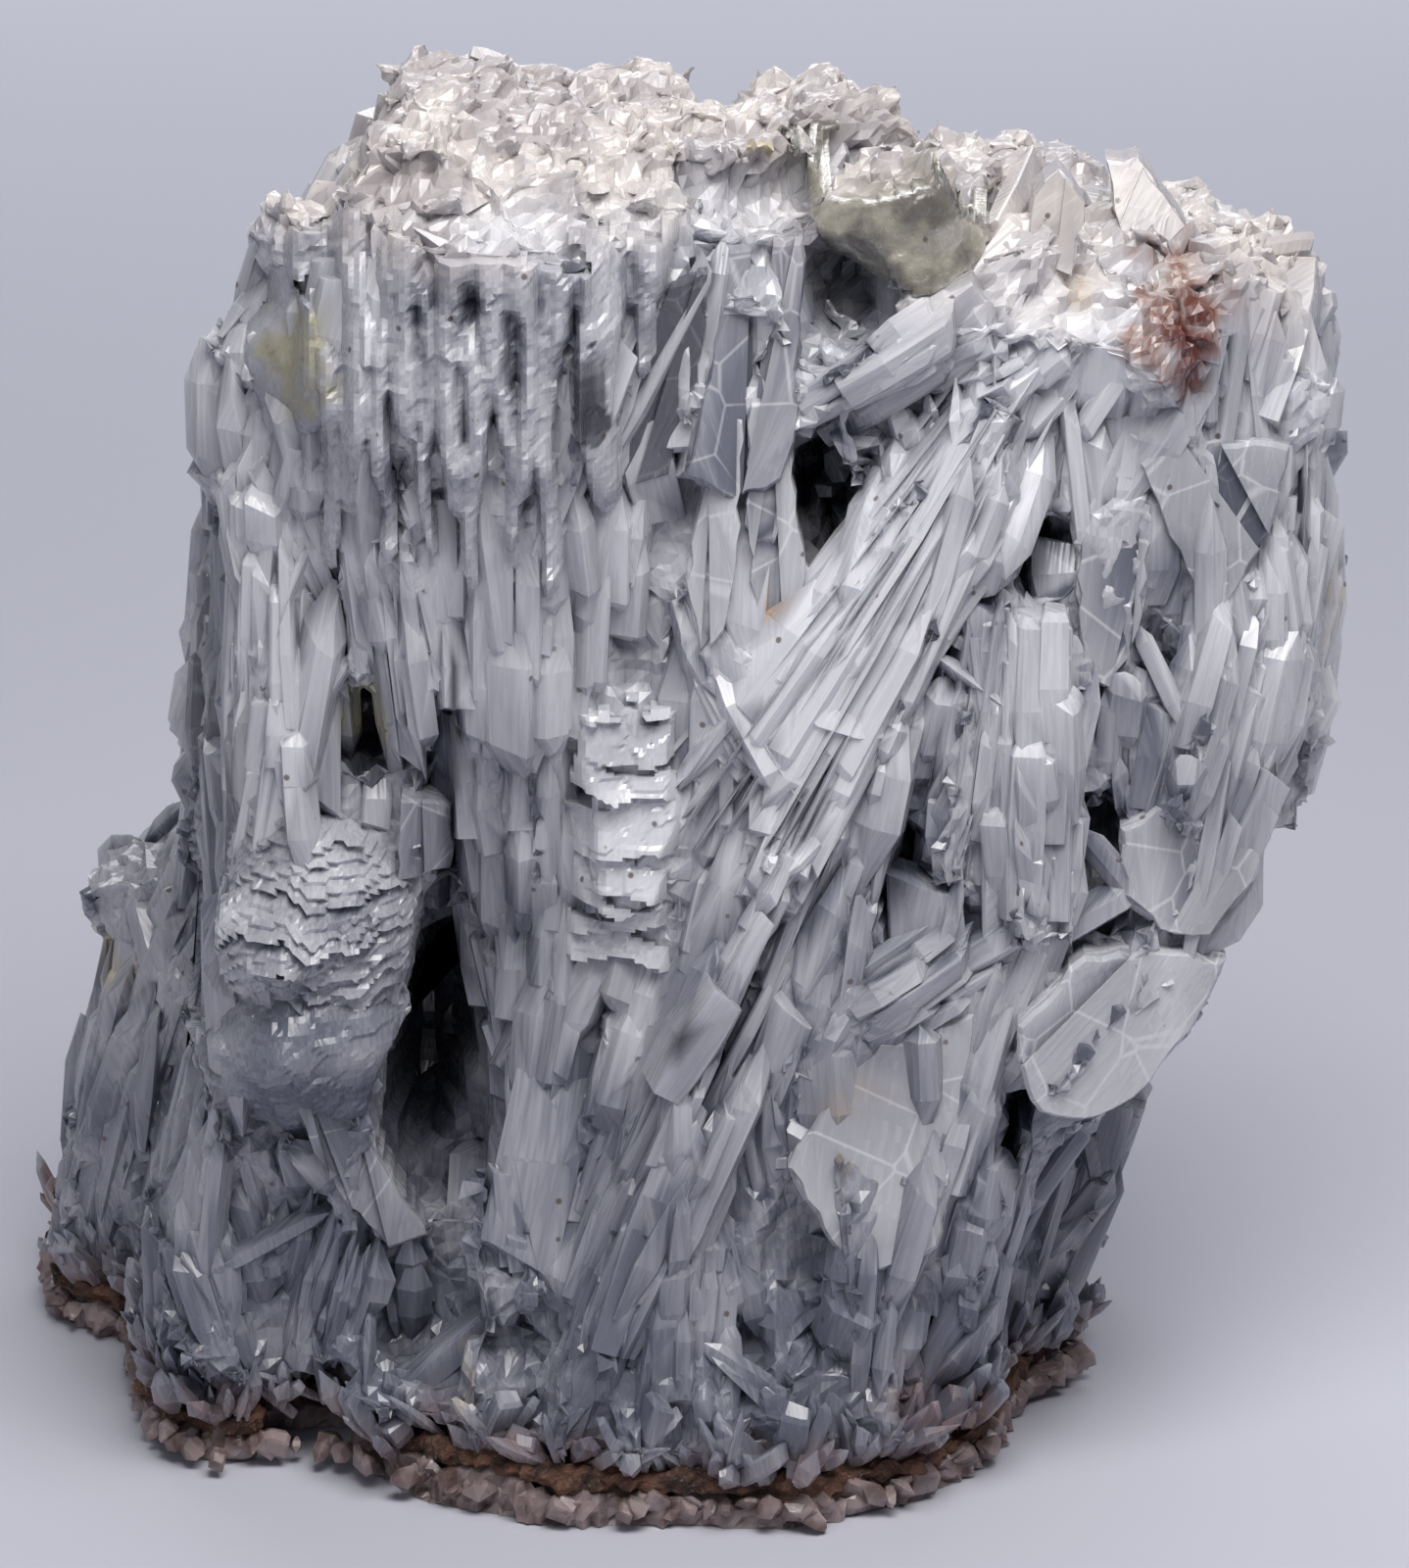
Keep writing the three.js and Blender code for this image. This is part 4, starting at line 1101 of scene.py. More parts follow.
def lay_filler(bed, skin, side, bundles, spec, taken, rng):
    """Shingles one side with crystals: roots flush with the body, tips lifted, along the nearest
    bundle."""
    for across in np.arange(spec.left, spec.right, spec.step):
        for up in np.arange(spec.low, spec.high, spec.step):
            spot_x = across + rng.uniform(-0.5, 0.5) * spec.step
            spot_z = up + rng.uniform(-0.5, 0.5) * spec.step
            choice, ways, _ = bundle_field(bundles, (spot_x, spot_z))
            near = bundles[choice[0]]
            length = spec.length * rng.uniform(0.4, 1.6)
            lean = ways[0] + math.radians(rng.normal(0, spec.wander))
            draws = rng.uniform(size=4)
            kind = COMPANIONS[near.kind][int(rng.integers(4))]
            template = pick_template(kind, rng)
            tip_x = spot_x + math.sin(lean) * length
            tip_z = spot_z + math.cos(lean) * length
            middle_x, middle_z = (spot_x + tip_x) / 2, (spot_z + tip_z) / 2
            reach_x, reach_z = tip_x - spot_x, tip_z - spot_z
            places = [(spot_x + reach_x * share, spot_z + reach_z * share) for share in STATIONS]
            if any(kept_free(taken, side, *place) for place in places):
                continue
            root, normal = skin.seen_at(side, spot_x, spot_z)
            if root is None or abs(normal @ side.out) < LEAST_FACING:
                continue
            if skin.hollows_at([root])[0] > DEEPEST_FILLER:
                continue
            middle = skin.seen_at(side, middle_x, middle_z)[0]
            tip = skin.seen_at(side, tip_x, tip_z)[0]
            if tip is None or middle is None or np.linalg.norm(tip - root) > FARTHEST_TIP * length:
                continue
            bulge = (middle - (root + tip) / 2) @ side.out
            if bulge > HIGHEST_BULGE or abs((tip - root) @ side.out) > STEEPEST_FILLER * length:
                continue
            if bulge < -DEEPEST_SAG:
                tip = middle
            width = near.width * FILLER_NARROWEST * FILLER_WIDTH_SPREAD ** draws[0]
            width = float(np.clip(width, *FILLER_WIDTHS))
            lift = max(0.0, bulge) + spec.proud * draws[1]
            thickness = max(THINNEST, width * THICKNESS[kind], lift + ROOTED)
            bed.add(
                root + side.out * (0.3 * draws[2] - 0.2 - thickness * 0.5),
                tip + side.out * (lift + 0.2 - thickness * 0.5),
                side.out,
                width,
                thickness,
                template,
            )


FOOT_STEP = 1.0
FOOT_LEVELS = (5.5, 9.5)
FOOT_FACING = 0.35
SEAM_TOP = 4.2
LEVEL_PART = np.array((1.0, 1.0, 0.0))


def lay_foot(druse, teeth, skin, rng):
    """Small crystals all along the foot: a druse that rises from the rock seam, and teeth below it."""
    for name, side in SIDES.items():
        spec = FILLERS[name]
        for across in np.arange(spec.left - 8, spec.right + 4, FOOT_STEP):
            for turn in range(3):
                aside, up = rng.uniform(-0.5, 0.5), rng.uniform(*FOOT_LEVELS)
                spot, normal = skin.seen_at(side, across + aside, up)
                lean = rng.normal(0, 0.5)
                draws = rng.uniform(size=6)
                kind = (PRISM, LEAF, NEEDLE, FLAKE)[int(rng.integers(4))]
                template = pick_template(kind, rng)
                if spot is None or normal @ side.out < FOOT_FACING:
                    continue
                out = unit(normal * LEVEL_PART)
                way = side.right * math.sin(lean) + UP * math.cos(lean)
                base = spot * LEVEL_PART - out * 0.9
                width = 0.9 + 1.5 * draws[0] ** 2
                if turn < 2:
                    root = base + UP * (SEAM_TOP - 0.9 + 1.8 * draws[1])
                    tip = root + way * (2.2 + 4.2 * draws[2] ** 1.5) + out * (0.6 + 2.0 * draws[3])
                    druse.add(root, tip, out, width, width * 0.9, template)
                else:
                    root = base + out * 0.6 + UP * (1.9 + 0.5 * draws[1])
                    tip = root - UP * (0.9 + 0.8 * draws[2]) + way * 0.6 + out * (0.5 + 1.4 * draws[3])
                    teeth.add(root, tip, out, width * 1.3, width * 1.1, template)


# Closed patches of relief over the skin, for forms that are one surface and not many crystals. A patch
# ends where its height is below LOWEST_RISE or the skin is level.

LEVEL = 0.8
LOWEST_RISE = -0.6
RELIEF_ROOT = 2.5


def relief_mesh(name, skin, box, step, height):
    """A closed patch on the front. height gives how far out of the skin a place stands."""
    side = SIDES["front"]
    left, right, low, high = box
    columns = np.arange(left, right + step / 2, step)
    rows = np.arange(low, high + step / 2, step)
    across, up = np.meshgrid(columns, rows, indexing="ij")
    rise = height(across, up)
    shape = across.shape
    spots = np.zeros((*shape, 3))
    kept = rise > LOWEST_RISE
    for place in zip(*np.nonzero(kept)):
        spot, normal = skin.seen_at(side, across[place], up[place])
        kept[place] = spot is not None and normal[2] < LEVEL
        if spot is not None:
            spots[place] = spot
    cells = kept[:-1, :-1] & kept[1:, :-1] & kept[:-1, 1:] & kept[1:, 1:]
    top = spots + side.out * rise[..., None]
    base = spots - side.out * RELIEF_ROOT
    number = np.arange(across.size).reshape(shape)
    faces = []
    walls = {}
    for i, j in zip(*np.nonzero(cells)):
        ring = (number[i, j], number[i + 1, j], number[i + 1, j + 1], number[i, j + 1])
        faces.append(ring)
        faces.append(tuple(corner + across.size for corner in reversed(ring)))
        for first, second in zip(ring, ring[1:] + ring[:1]):
            if (second, first) in walls:
                del walls[(second, first)]
            else:
                walls[(first, second)] = True
    for first, second in walls:
        faces.append((first, first + across.size, second + across.size, second))
    points = np.concatenate((top.reshape(-1, 3), base.reshape(-1, 3)))
    mesh = bpy.data.meshes.new(name)
    mesh.from_pydata(points.tolist(), [], [tuple(map(int, face)) for face in faces])
    form = bmesh.new()
    form.from_mesh(mesh)
    bmesh.ops.delete(form, geom=[vert for vert in form.verts if not vert.link_faces], context="VERTS")
    bmesh.ops.recalc_face_normals(form, faces=form.faces)
    form.to_mesh(mesh)
    form.free()
    move_points(mesh, vectors_of(mesh.vertices))
    return mesh


# A face's longest edge is followed where its cosine to the way of growth and its length are over these

NEAR_GROWTH = 0.85
LONG_EDGE = 2.2


def crystal_ways(mesh, points, ways):
    """The way of each face, along its longest edge where that is long and near the way of growth, and
    each corner's face and point."""
    starts = numbers_of(mesh.polygons, "loop_start")
    totals = numbers_of(mesh.polygons, "loop_total")
    corners = numbers_of(mesh.loops, "vertex_index")
    ends = starts + totals - 1
    after = np.arange(len(corners)) + 1
    after[ends] = starts
    edges = points[corners[after]] - points[corners]
    lengths = np.linalg.norm(edges, axis=1)
    faces = np.repeat(np.arange(len(totals)), totals)
    longest = np.lexsort((lengths, faces))[ends]
    edge = edges[longest] / np.maximum(lengths[longest], 1e-6)[:, None]
    agree = np.einsum("ij,ij->i", edge, ways)
    follow = (np.abs(agree) > NEAR_GROWTH) & (lengths[longest] > LONG_EDGE)
    return np.where(follow[:, None], edge * np.sign(agree)[:, None], ways), faces, corners


def paint_stains(mesh, points):
    """Gives the stains as a colour whose alpha is how strong they are."""
    uneven = (soft_noise(points, 1.7) + soft_noise(points, 0.8, 1) - 1.0) * 0.8
    colour = np.zeros((len(points), 3))
    cover = np.zeros(len(points))
    for stain in STAINS:
        away = np.linalg.norm((points - stain.middle) / stain.reach, axis=1) + uneven
        share = smooth_step(away, 1.15, 0.5) * stain.strength
        colour += (np.array(stain.colour) - colour) * share[:, None]
        cover += (1 - cover) * share
    foot = smooth_step(points[:, 2] + 5 * soft_noise(points, 3.0, 4), 10.5, 6.0) * 0.6
    colour += (np.array(FOOT_PINK) - colour) * foot[:, None]
    cover += (1 - cover) * foot
    colour /= np.maximum(cover, 1e-4)[:, None]
    layer = mesh.attributes.new("stain", "FLOAT_COLOR", "POINT")
    rows = np.column_stack((np.clip(colour, 0, 1), cover)).astype(np.float32)
    layer.data.foreach_set("color", rows.ravel())


# How far and with how many rays the crease measure looks; it paints shade into creases and a highlight on
# free edges
CREASE_REACH = 3.0
CREASE_RAYS = 7

# The milk of the bundles fades towards the foot, between these heights and down to this share, so the
# crystals darken downwards: partly their own clearer tone, partly painted shade for the light falling off

MILK_RISE = (6.0, 62.0)
LEAST_MILK = 0.05


def finish_surface(mesh, skin, milk=None, smooth=False, rays=CREASE_RAYS):
    """Gives a surface its grain map, along the crystals in millimetres, and its tints: milk, clouds, how deep
    in a crease or a hollow it lies, for painted shade there and a painted highlight on free edges, crust and
    stains."""
    points, normals = points_of(mesh), normals_of(mesh)
    centres = to_specimen(vectors_of(mesh.polygons, "center"))
    outs = vectors_of(mesh.polygons, "normal")
    ways, faces, corners = crystal_ways(mesh, points, surface_field(centres, outs)[0])
    along = ways - outs * np.einsum("ij,ij->i", ways, outs)[:, None]
    along /= np.maximum(np.linalg.norm(along, axis=1), 0.05)[:, None]
    across = np.cross(outs, along)
    places = points[corners]
    shifts = hashed(np.floor(centres / 2.5), 5)[:, 0] * 9
    layer = mesh.uv_layers.new(name="grain")
    u = np.einsum("ij,ij->i", places, across[faces]) + shifts[faces]
    v = np.einsum("ij,ij->i", places, along[faces])
    layer.data.foreach_set("uv", np.stack((u, v), axis=1).ravel())
    if milk is None:
        # Partly painted shade: milk is cut towards the foot, darkening the lower crystals
        rise = smooth_step(points[:, 2], *MILK_RISE)
        milk = surface_field(points, normals)[1] * (LEAST_MILK + 0.95 * rise)
    set_float_attribute(mesh, "milk", np.broadcast_to(milk, len(points)))
    cloud = 0.6 * soft_noise(points, 5.0, 5) + 0.4 * soft_noise(points, 2.2, 6)
    set_float_attribute(mesh, "cloud", cloud)
    # Painted shade: the hollow tint is high where the skin is shut in and inside the front's listed hollows,
    # and darkens the colour there
    hollow = skin.hollows_at(points)
    ahead = points[:, 1] < 0
    for deep, share in hollow_shares(points[:, 0], points[:, 2]):
        dark = min(1.0, (deep.depth - 0.9) / 3.6)
        hollow = np.maximum(hollow, smooth_step(share, 0.1, 0.7) * ahead * dark)
    set_float_attribute(mesh, "hollow", hollow)
    polygons = [tuple(polygon.vertices) for polygon in mesh.polygons]
    tree = BVHTree.FromPolygons([Vector(point) for point in points], polygons)
    set_float_attribute(mesh, "crease", closeness(tree, points, normals, CREASE_REACH, rays))
    fall = points[:, 2] + 0.24 * np.maximum(points[:, 0], 4.0)
    level = fall + 5 * soft_noise(points, 7.0, 2) + 3 * soft_noise(points, 2.6, 3)
    set_float_attribute(mesh, "crust", smooth_step(level, 98.5, 107.5))
    paint_stains(mesh, points)
    shade(mesh, smooth)


# Materials


class Sheet:
    """A material's nodes, with short ways to add and join them."""

    def __init__(self, name):
        self.material = bpy.data.materials.new(name)
        self.material.use_nodes = True
        self.tree = self.material.node_tree
        self.shader = next(node for node in self.tree.nodes if node.type == "BSDF_PRINCIPLED")

    def add(self, kind, inputs=None, output=0, **settings):
        """Adds a node and gives one of its outputs."""
        return tree_node(self.tree, kind, inputs, **settings).outputs[output]

    def math(self, operation, first, second):
        return self.add("ShaderNodeMath", {0: first, 1: second}, operation=operation)

    def millimetres(self):
        """Object coordinates in specimen millimetres."""
        place = self.add("ShaderNodeTexCoord", output="Object")
        grown = self.add("ShaderNodeVectorMath", {0: place, "Scale": 1 / MM}, operation="SCALE")
        return self.add("ShaderNodeVectorMath", {0: grown, 1: tuple(FRAME_SHIFT)}, operation="SUBTRACT")

    def noise(self, place, scale, detail=2.0, roughness=0.55):
        inputs = {"Vector": place, "Scale": scale, "Detail": detail, "Roughness": roughness}
        return self.add("ShaderNodeTexNoise", inputs)

    def ramp(self, value, low, high, to_low=0.0, to_high=1.0):
        """A smooth step of a value from low to high."""
        inputs = {"Value": value, 1: low, 2: high, 3: to_low, 4: to_high}
        return self.add("ShaderNodeMapRange", inputs, interpolation_type="SMOOTHSTEP")

    def mix(self, share, first, second):
        """A colour between two, each a socket or three numbers. The share is held from 0 to 1."""
        first, second = (
            tone if isinstance(tone, bpy.types.NodeSocket) else (*tone, 1.0) for tone in (first, second)
        )
        inputs = {0: share, 6: first, 7: second}
        return self.add("ShaderNodeMix", inputs, 2, data_type="RGBA", clamp_factor=True)

    def bump(self, height, strength, distance):
        """A normal moved by a height, its distance in millimetres."""
        inputs = {"Height": height, "Strength": strength, "Distance": distance * MM}
        return self.add("ShaderNodeBump", inputs)

    def set(self, **values):
        """Fills or joins the shader's own sockets."""
        for name, value in values.items():
            socket = self.shader.inputs[name.replace("_", " ")]
            if isinstance(value, bpy.types.NodeSocket):
                self.tree.links.new(value, socket)
            else:
                socket.default_value = value


# Stains on the crystals: middle and reach in specimen millimetres, colour and strength

Stain = namedtuple("Stain", "middle reach colour strength")

ORANGE = (0.62, 0.33, 0.09)
YELLOW_CREAM = (0.74, 0.62, 0.38)
RED_BROWN = (0.12, 0.028, 0.018)
RUST = (0.24, 0.11, 0.07)
OLIVE = (0.34, 0.31, 0.16)
TAN = (0.45, 0.33, 0.2)
FOOT_PINK = (0.27, 0.17, 0.15)
POCKET_GREY = (0.25, 0.235, 0.205)
CRUST_GREY = (0.40, 0.37, 0.375)
CRUST_TAN = (0.50, 0.44, 0.42)
SPECK_BROWN = (0.09, 0.055, 0.045)
CELESTITE_IOR = 1.62

STAINS = [
    Stain((34.5, -14, 91), (4.2, 9, 6.5), RUST, 0.85),
    Stain((35.5, -14, 88), (2.2, 8, 4.5), RED_BROWN, 0.95),
    Stain((33.8, -14, 95), (1.6, 8, 2.4), RED_BROWN, 0.9),
    Stain((2.0, -12, 104.5), (1.9, 5, 1.3), ORANGE, 0.9),
    Stain((3.5, -12, 103.5), (5.5, 8, 3.4), YELLOW_CREAM, 0.7),
    Stain((-21, -2, 107), (3.6, 9, 1.6), YELLOW_CREAM, 0.8),
    Stain((-26, -8, 105), (1.6, 8, 2.0), ORANGE, 0.6),
    Stain((14.5, -14, 98), (6.2, 9, 5.8), POCKET_GREY, 0.85),
    Stain((-30, -20, 88.5), (3.6, 8, 4.8), OLIVE, 0.75),
    Stain((4.6, -22, 70.5), (0.8, 8, 1.8), ORANGE, 0.6),
    Stain((8.8, -20, 76.5), (2.0, 8, 1.4), TAN, 0.6),
    Stain((27.5, -15, 91.5), (1.2, 8, 1.4), TAN, 0.6),
    Stain((-25.5, -18, 59.5), (2.2, 9, 3.6), OLIVE, 0.8),
    Stain((10.5, -25, 32), (1.6, 8, 5.0), TAN, 0.45),
    Stain((-8, -26, 40), (3.0, 8, 2.0), TAN, 0.25),
    Stain((48.5, -8, 63), (1.8, 9, 6.0), YELLOW_CREAM, 0.6),
    Stain((-47, 20, 30), (4.0, 9, 3.0), YELLOW_CREAM, 0.6),
    Stain((-52, 26, 6), (4.0, 12, 4.5), RUST, 0.8),
    Stain((-18.5, -28, 12), (1.4, 8, 5.0), YELLOW_CREAM, 0.4),
    Stain((17.5, -27, 9), (4.5, 8, 3.5), RUST, 0.4),
    Stain((22, -24, 6), (4.0, 9, 2.5), RUST, 0.55),
]


def tint(sheet, name, output="Fac"):
    """One of the tints that finish_surface gives."""
    return sheet.add("ShaderNodeAttribute", output=output, attribute_name=name)


def celestite_material(name, settings, clear=0.0, frost_bias=0.0, fibre=0.4, gloss=0.18, veins=0.0):
    """Milky celestite: clear blue-grey flats, white in fibres, a warm crust and stains, with painted shade
    darkening the hollows and creases and a painted highlight whitening free edges. clear is how far light
    passes through, veins how white its healed cracks are."""
    sheet = Sheet(name)
    place = sheet.millimetres()
    grain = sheet.add("ShaderNodeUVMap", uv_map="grain")
    inputs = {0: grain, 1: (1.7, 0.13, 1.0)}
    stretched = sheet.add("ShaderNodeVectorMath", inputs, operation="MULTIPLY")
    fibres = sheet.noise(stretched, 1.2, detail=1.0, roughness=0.6)
    clouds = tint(sheet, "cloud")
    crease, hollow, crust = tint(sheet, "crease"), tint(sheet, "hollow"), tint(sheet, "crust")
    frost = sheet.math("ADD", tint(sheet, "milk"), frost_bias)
    # The crease term is a painted highlight that whitens free edges, and it lowers the frost in creases
    for pattern, middle, strength in (
        (fibres, 0.5, fibre),
        (clouds, 0.5, 0.9),
        (crease, 0.22, -0.7),
    ):
        swing = sheet.math("MULTIPLY", sheet.math("SUBTRACT", pattern, middle), strength)
        frost = sheet.math("ADD", frost, swing)
    if veins:
        inputs = {"Vector": place, "Scale": 0.17}
        cells = sheet.add("ShaderNodeTexVoronoi", inputs, "Distance", feature="DISTANCE_TO_EDGE")
        frost = sheet.math("ADD", frost, sheet.ramp(cells, 0.03, 0.0, 0.0, veins))
    colour = sheet.mix(frost, tuple(settings.crystal_colour), tuple(settings.frost_colour))
    # Painted shade: hollows and creases are mixed towards the hollow shade colour
    painted_hollow_shade = sheet.ramp(hollow, 0.34, 0.8, 0.0, 0.95)
    painted_crease_shade = sheet.ramp(crease, 0.5, 0.95, 0.0, 0.38)
    shaded = sheet.math("ADD", painted_hollow_shade, painted_crease_shade)
    colour = sheet.mix(shaded, colour, tuple(settings.hollow_shade_colour))
    crust_tone = sheet.mix(sheet.ramp(clouds, 0.42, 0.58), CRUST_GREY, tuple(settings.crust_colour))
    crust_tone = sheet.mix(sheet.ramp(fibres, 0.62, 0.4, 0.0, 0.5), crust_tone, CRUST_TAN)
    colour = sheet.mix(sheet.math("MULTIPLY", crust, 0.85), colour, crust_tone)
    patchy = sheet.ramp(fibres, 0.3, 0.55, 0.55, 1.0)
    strength = sheet.math("MULTIPLY", tint(sheet, "stain", "Alpha"), patchy)
    colour = sheet.mix(strength, colour, tint(sheet, "stain", "Color"))
    colour = specked(sheet, place, colour)
    sheet.set(
        Base_Color=colour,
        Roughness=sheet.ramp(fibres, 0.25, 0.8, gloss, gloss + 0.22),
        Normal=sheet.bump(fibres, 0.25, 0.3),
        IOR=CELESTITE_IOR,
        Subsurface_Weight=0.22,
        Subsurface_Radius=(0.95, 1.0, 1.15),
        Subsurface_Scale=2.2 * MM,
    )
    if clear:
        sheet.set(Transmission_Weight=clear)
    return sheet.material


def specked(sheet, place, colour):
    """Tiny brown and black grains, sparse and uneven."""
    cells = tree_node(sheet.tree, "ShaderNodeTexVoronoi", {"Vector": place, "Scale": 0.55}).outputs
    near = sheet.ramp(cells["Distance"], 0.17, 0.09)
    rare = sheet.ramp(sheet.add("ShaderNodeSeparateColor", {0: cells["Color"]}), 0.86, 0.9)
    share = sheet.math("MULTIPLY", sheet.math("MULTIPLY", near, rare), 0.8)
    return sheet.mix(share, colour, SPECK_BROWN)


def pocket_material(name):
    """The smooth grey-brown crystal in the crust, half clear and faintly olive."""
    sheet = Sheet(name)
    place = sheet.millimetres()
    clouds = sheet.noise(place, 0.32)
    flecks = sheet.noise(place, 1.6)
    colour = sheet.mix(sheet.ramp(clouds, 0.34, 0.66), (0.16, 0.145, 0.125), (0.42, 0.40, 0.33))
    colour = specked(sheet, place, colour)
    sheet.set(
        Base_Color=colour,
        Roughness=sheet.ramp(flecks, 0.2, 0.8, 0.2, 0.4),
        Normal=sheet.bump(flecks, 0.3, 0.4),
        IOR=CELESTITE_IOR,
        Transmission_Weight=0.25,
        Subsurface_Weight=0.3,
        Subsurface_Radius=(1.1, 1.0, 0.8),
        Subsurface_Scale=1.2 * MM,
    )
    return sheet.material


def rock_material(name, dark, light):
    """Dull rust-brown rock with a gritty surface."""
    sheet = Sheet(name)
    place = sheet.millimetres()
    blotch = sheet.noise(place, 0.45, detail=3.0, roughness=0.65)
    grit = sheet.noise(place, 2.6, detail=2.0, roughness=0.7)
    colour = sheet.mix(sheet.ramp(blotch, 0.35, 0.68), dark, light)
    colour = sheet.mix(sheet.ramp(grit, 0.55, 0.8, 0.0, 0.5), colour, (0.42, 0.31, 0.25))
    sheet.set(
        Base_Color=colour,
        Roughness=sheet.ramp(grit, 0.3, 0.7, 0.7, 0.95),
        Normal=sheet.bump(grit, 0.7, 0.5),
    )
    return sheet.material


def druse_material(name, pale, deep):
    """Small half-clear crystals, pinkish white, stained brown in the hollows between them."""
    sheet = Sheet(name)
    place = sheet.millimetres()
    blotch = sheet.noise(place, 0.35)
    flecks = sheet.noise(place, 1.8)
    colour = sheet.mix(sheet.ramp(blotch, 0.38, 0.66), pale, deep)
    colour = sheet.mix(sheet.ramp(flecks, 0.55, 0.8, 0.0, 0.6), colour, (0.33, 0.2, 0.16))
    sheet.set(
        Base_Color=colour,
        Roughness=sheet.ramp(flecks, 0.2, 0.8, 0.24, 0.5),
        Normal=sheet.bump(flecks, 0.3, 0.3),
        IOR=1.6,
        Subsurface_Weight=0.4,
        Subsurface_Radius=(1.1, 0.95, 0.9),
        Subsurface_Scale=1.4 * MM,
    )
    return sheet.material


def plain_material(name, colour, roughness, scale):
    """A matt surface with a faint, broad variation, for the studio."""
    sheet = Sheet(name)
    place = sheet.add("ShaderNodeTexCoord", output="Object")
    darker = tuple(channel * 0.97 for channel in colour)
    sheet.set(Base_Color=sheet.mix(sheet.noise(place, scale), colour, darker), Roughness=roughness)
    return sheet.material


# Shared work for the operators, made once

WORK = {}


def workshop():
    """The skin, the templates, the node trees and the celestites, made on first use."""
    if not WORK:
        settings = bpy.context.scene.celestite_cluster
        WORK["skin"] = Skin(softened_body(1.2 * MM, 1.1 * MM))
        WORK["crystals"] = crystal_templates()
        WORK["lumps"] = lump_templates()
        WORK["crystal_tree"] = crystal_tree()
        WORK["lump_tree"] = lump_tree()
        WORK["celestite"] = celestite_material("celestite", settings)
        WORK["clear"] = celestite_material(
            "clear_celestite", settings, clear=0.5, frost_bias=-0.1, fibre=0.25, gloss=0.1, veins=0.3
        )
        WORK["plate"] = celestite_material("plate_celestite", settings, fibre=0.25, gloss=0.12, veins=0.4)
        WORK["glossy"] = celestite_material(
            "glossy_celestite", settings, frost_bias=0.05, fibre=0.3, gloss=0.08
        )
    return WORK


def dress(name, mesh, slot, *replaced):
    """Links a finished mesh as a piece that rides on the specimen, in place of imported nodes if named."""
    piece = add_object(name, mesh)
    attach(piece, "root")
    if replaced:
        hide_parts(*replaced)


def crust_cover(points, normals):
    """1 where the body is under the crust on top, from specimen millimetres."""
    level = points[:, 2] + 0.24 * np.maximum(points[:, 0], 4.0)
    wave = 1.6 * np.sin(points[:, 0] * 0.5) + 1.2 * np.sin(points[:, 0] * 0.21 + points[:, 1] * 0.3)
    crusted = (level + wave > 103.5) | ((normals[:, 2] > 0.8) & (points[:, 2] > 80))
    pocket = (pocket_height(points[:, 0], points[:, 2]) > 0.1) & (points[:, 1] < -3)
    return (crusted & ~pocket).astype(float)


def facet_shift(points, axes, coarse, fine):
    """Large and small broken flats, each given by the sizes of its cells and its height."""
    large = facet_height(points, axes, coarse[0])
    small = facet_height(points + 31.7, axes, fine[0])
    return large * coarse[1] + small * fine[1]


def grained_shift(points, normals):
    """Broken flats drawn out along the nearest bundle."""
    shift = np.zeros(len(points))
    facing = np.array([normals @ side.out for side in SIDES.values()]).argmax(axis=0)
    for turn, (name, side) in enumerate(SIDES.items()):
        here = np.nonzero(facing == turn)[0]
        flat = np.stack((points[here] @ side.right, points[here][:, 2]), axis=1)
        nearest = bundle_field(BUNDLES[name], flat)[0]
        for number, bundle in enumerate(BUNDLES[name]):
            mine = here[nearest == number]
            if not len(mine):
                continue
            lean = math.radians(bundle.lean)
            axes = (
                side.right * math.cos(lean) - UP * math.sin(lean),
                side.out,
                side.right * math.sin(lean) + UP * math.cos(lean),
            )
            size = min(bundle.width * 1.3, 3.2)
            coarse = ((size, 2.2, size * 4), 0.9)
            shift[mine] = facet_shift(points[mine], axes, coarse, ((0.9, 0.9, 3.4), 0.3))
    return shift


UPRIGHT = ((1.0, 0.0, 0.0), (0.0, 1.0, 0.0), (0.0, 0.0, 1.0))
FLAT_FOOT = 0.3


def roughen(mesh, coarse, fine, above=-1.0):
    """Breaks a surface into tilted flats of two sizes, where it is higher than above."""
    points = points_of(mesh)
    shift = facet_shift(points, UPRIGHT, coarse, fine) * (points[:, 2] > above)
    move_points(mesh, points + normals_of(mesh) * shift[:, None])
    shade(mesh, False)


# Operators, one for each piece or group of like pieces


class CELESTITE_OT_body(Operator):
    """Break the solid's surface into crystalline flats that follow the grain, for the crystals to join"""

    bl_idname = "celestite.body"
    bl_label = "Body under the crystals"

    def execute(self, context):
        work = workshop()
        mesh = softened_body(context.scene.celestite_cluster.body_grain, 1.2 * MM)
        points, normals = points_of(mesh), normals_of(mesh)
        cover = crust_cover(points, normals)
        lumpy = facet_shift(points, UPRIGHT, ((2.4, 2.4, 2.4), 0.8), ((0.9, 0.9, 0.9), 0.35))
        shift = np.where(cover > 0.5, lumpy, grained_shift(points, normals))
        move_points(mesh, points + normals * shift[:, None])
        set_float_attribute(mesh, "cover", cover)
        work["body"] = add_object("body_form", mesh)
        return {"FINISHED"}


# The front is joined apart from the rest, so that each piece stays a fair size. The cut is inside.

CUT_DEPTH = 2.0
BOX_REACH = 300.0
BOX_BELOW = 20

# Crystals and plates with less milk than this are clear

CLEAR_BELOW = 0.15


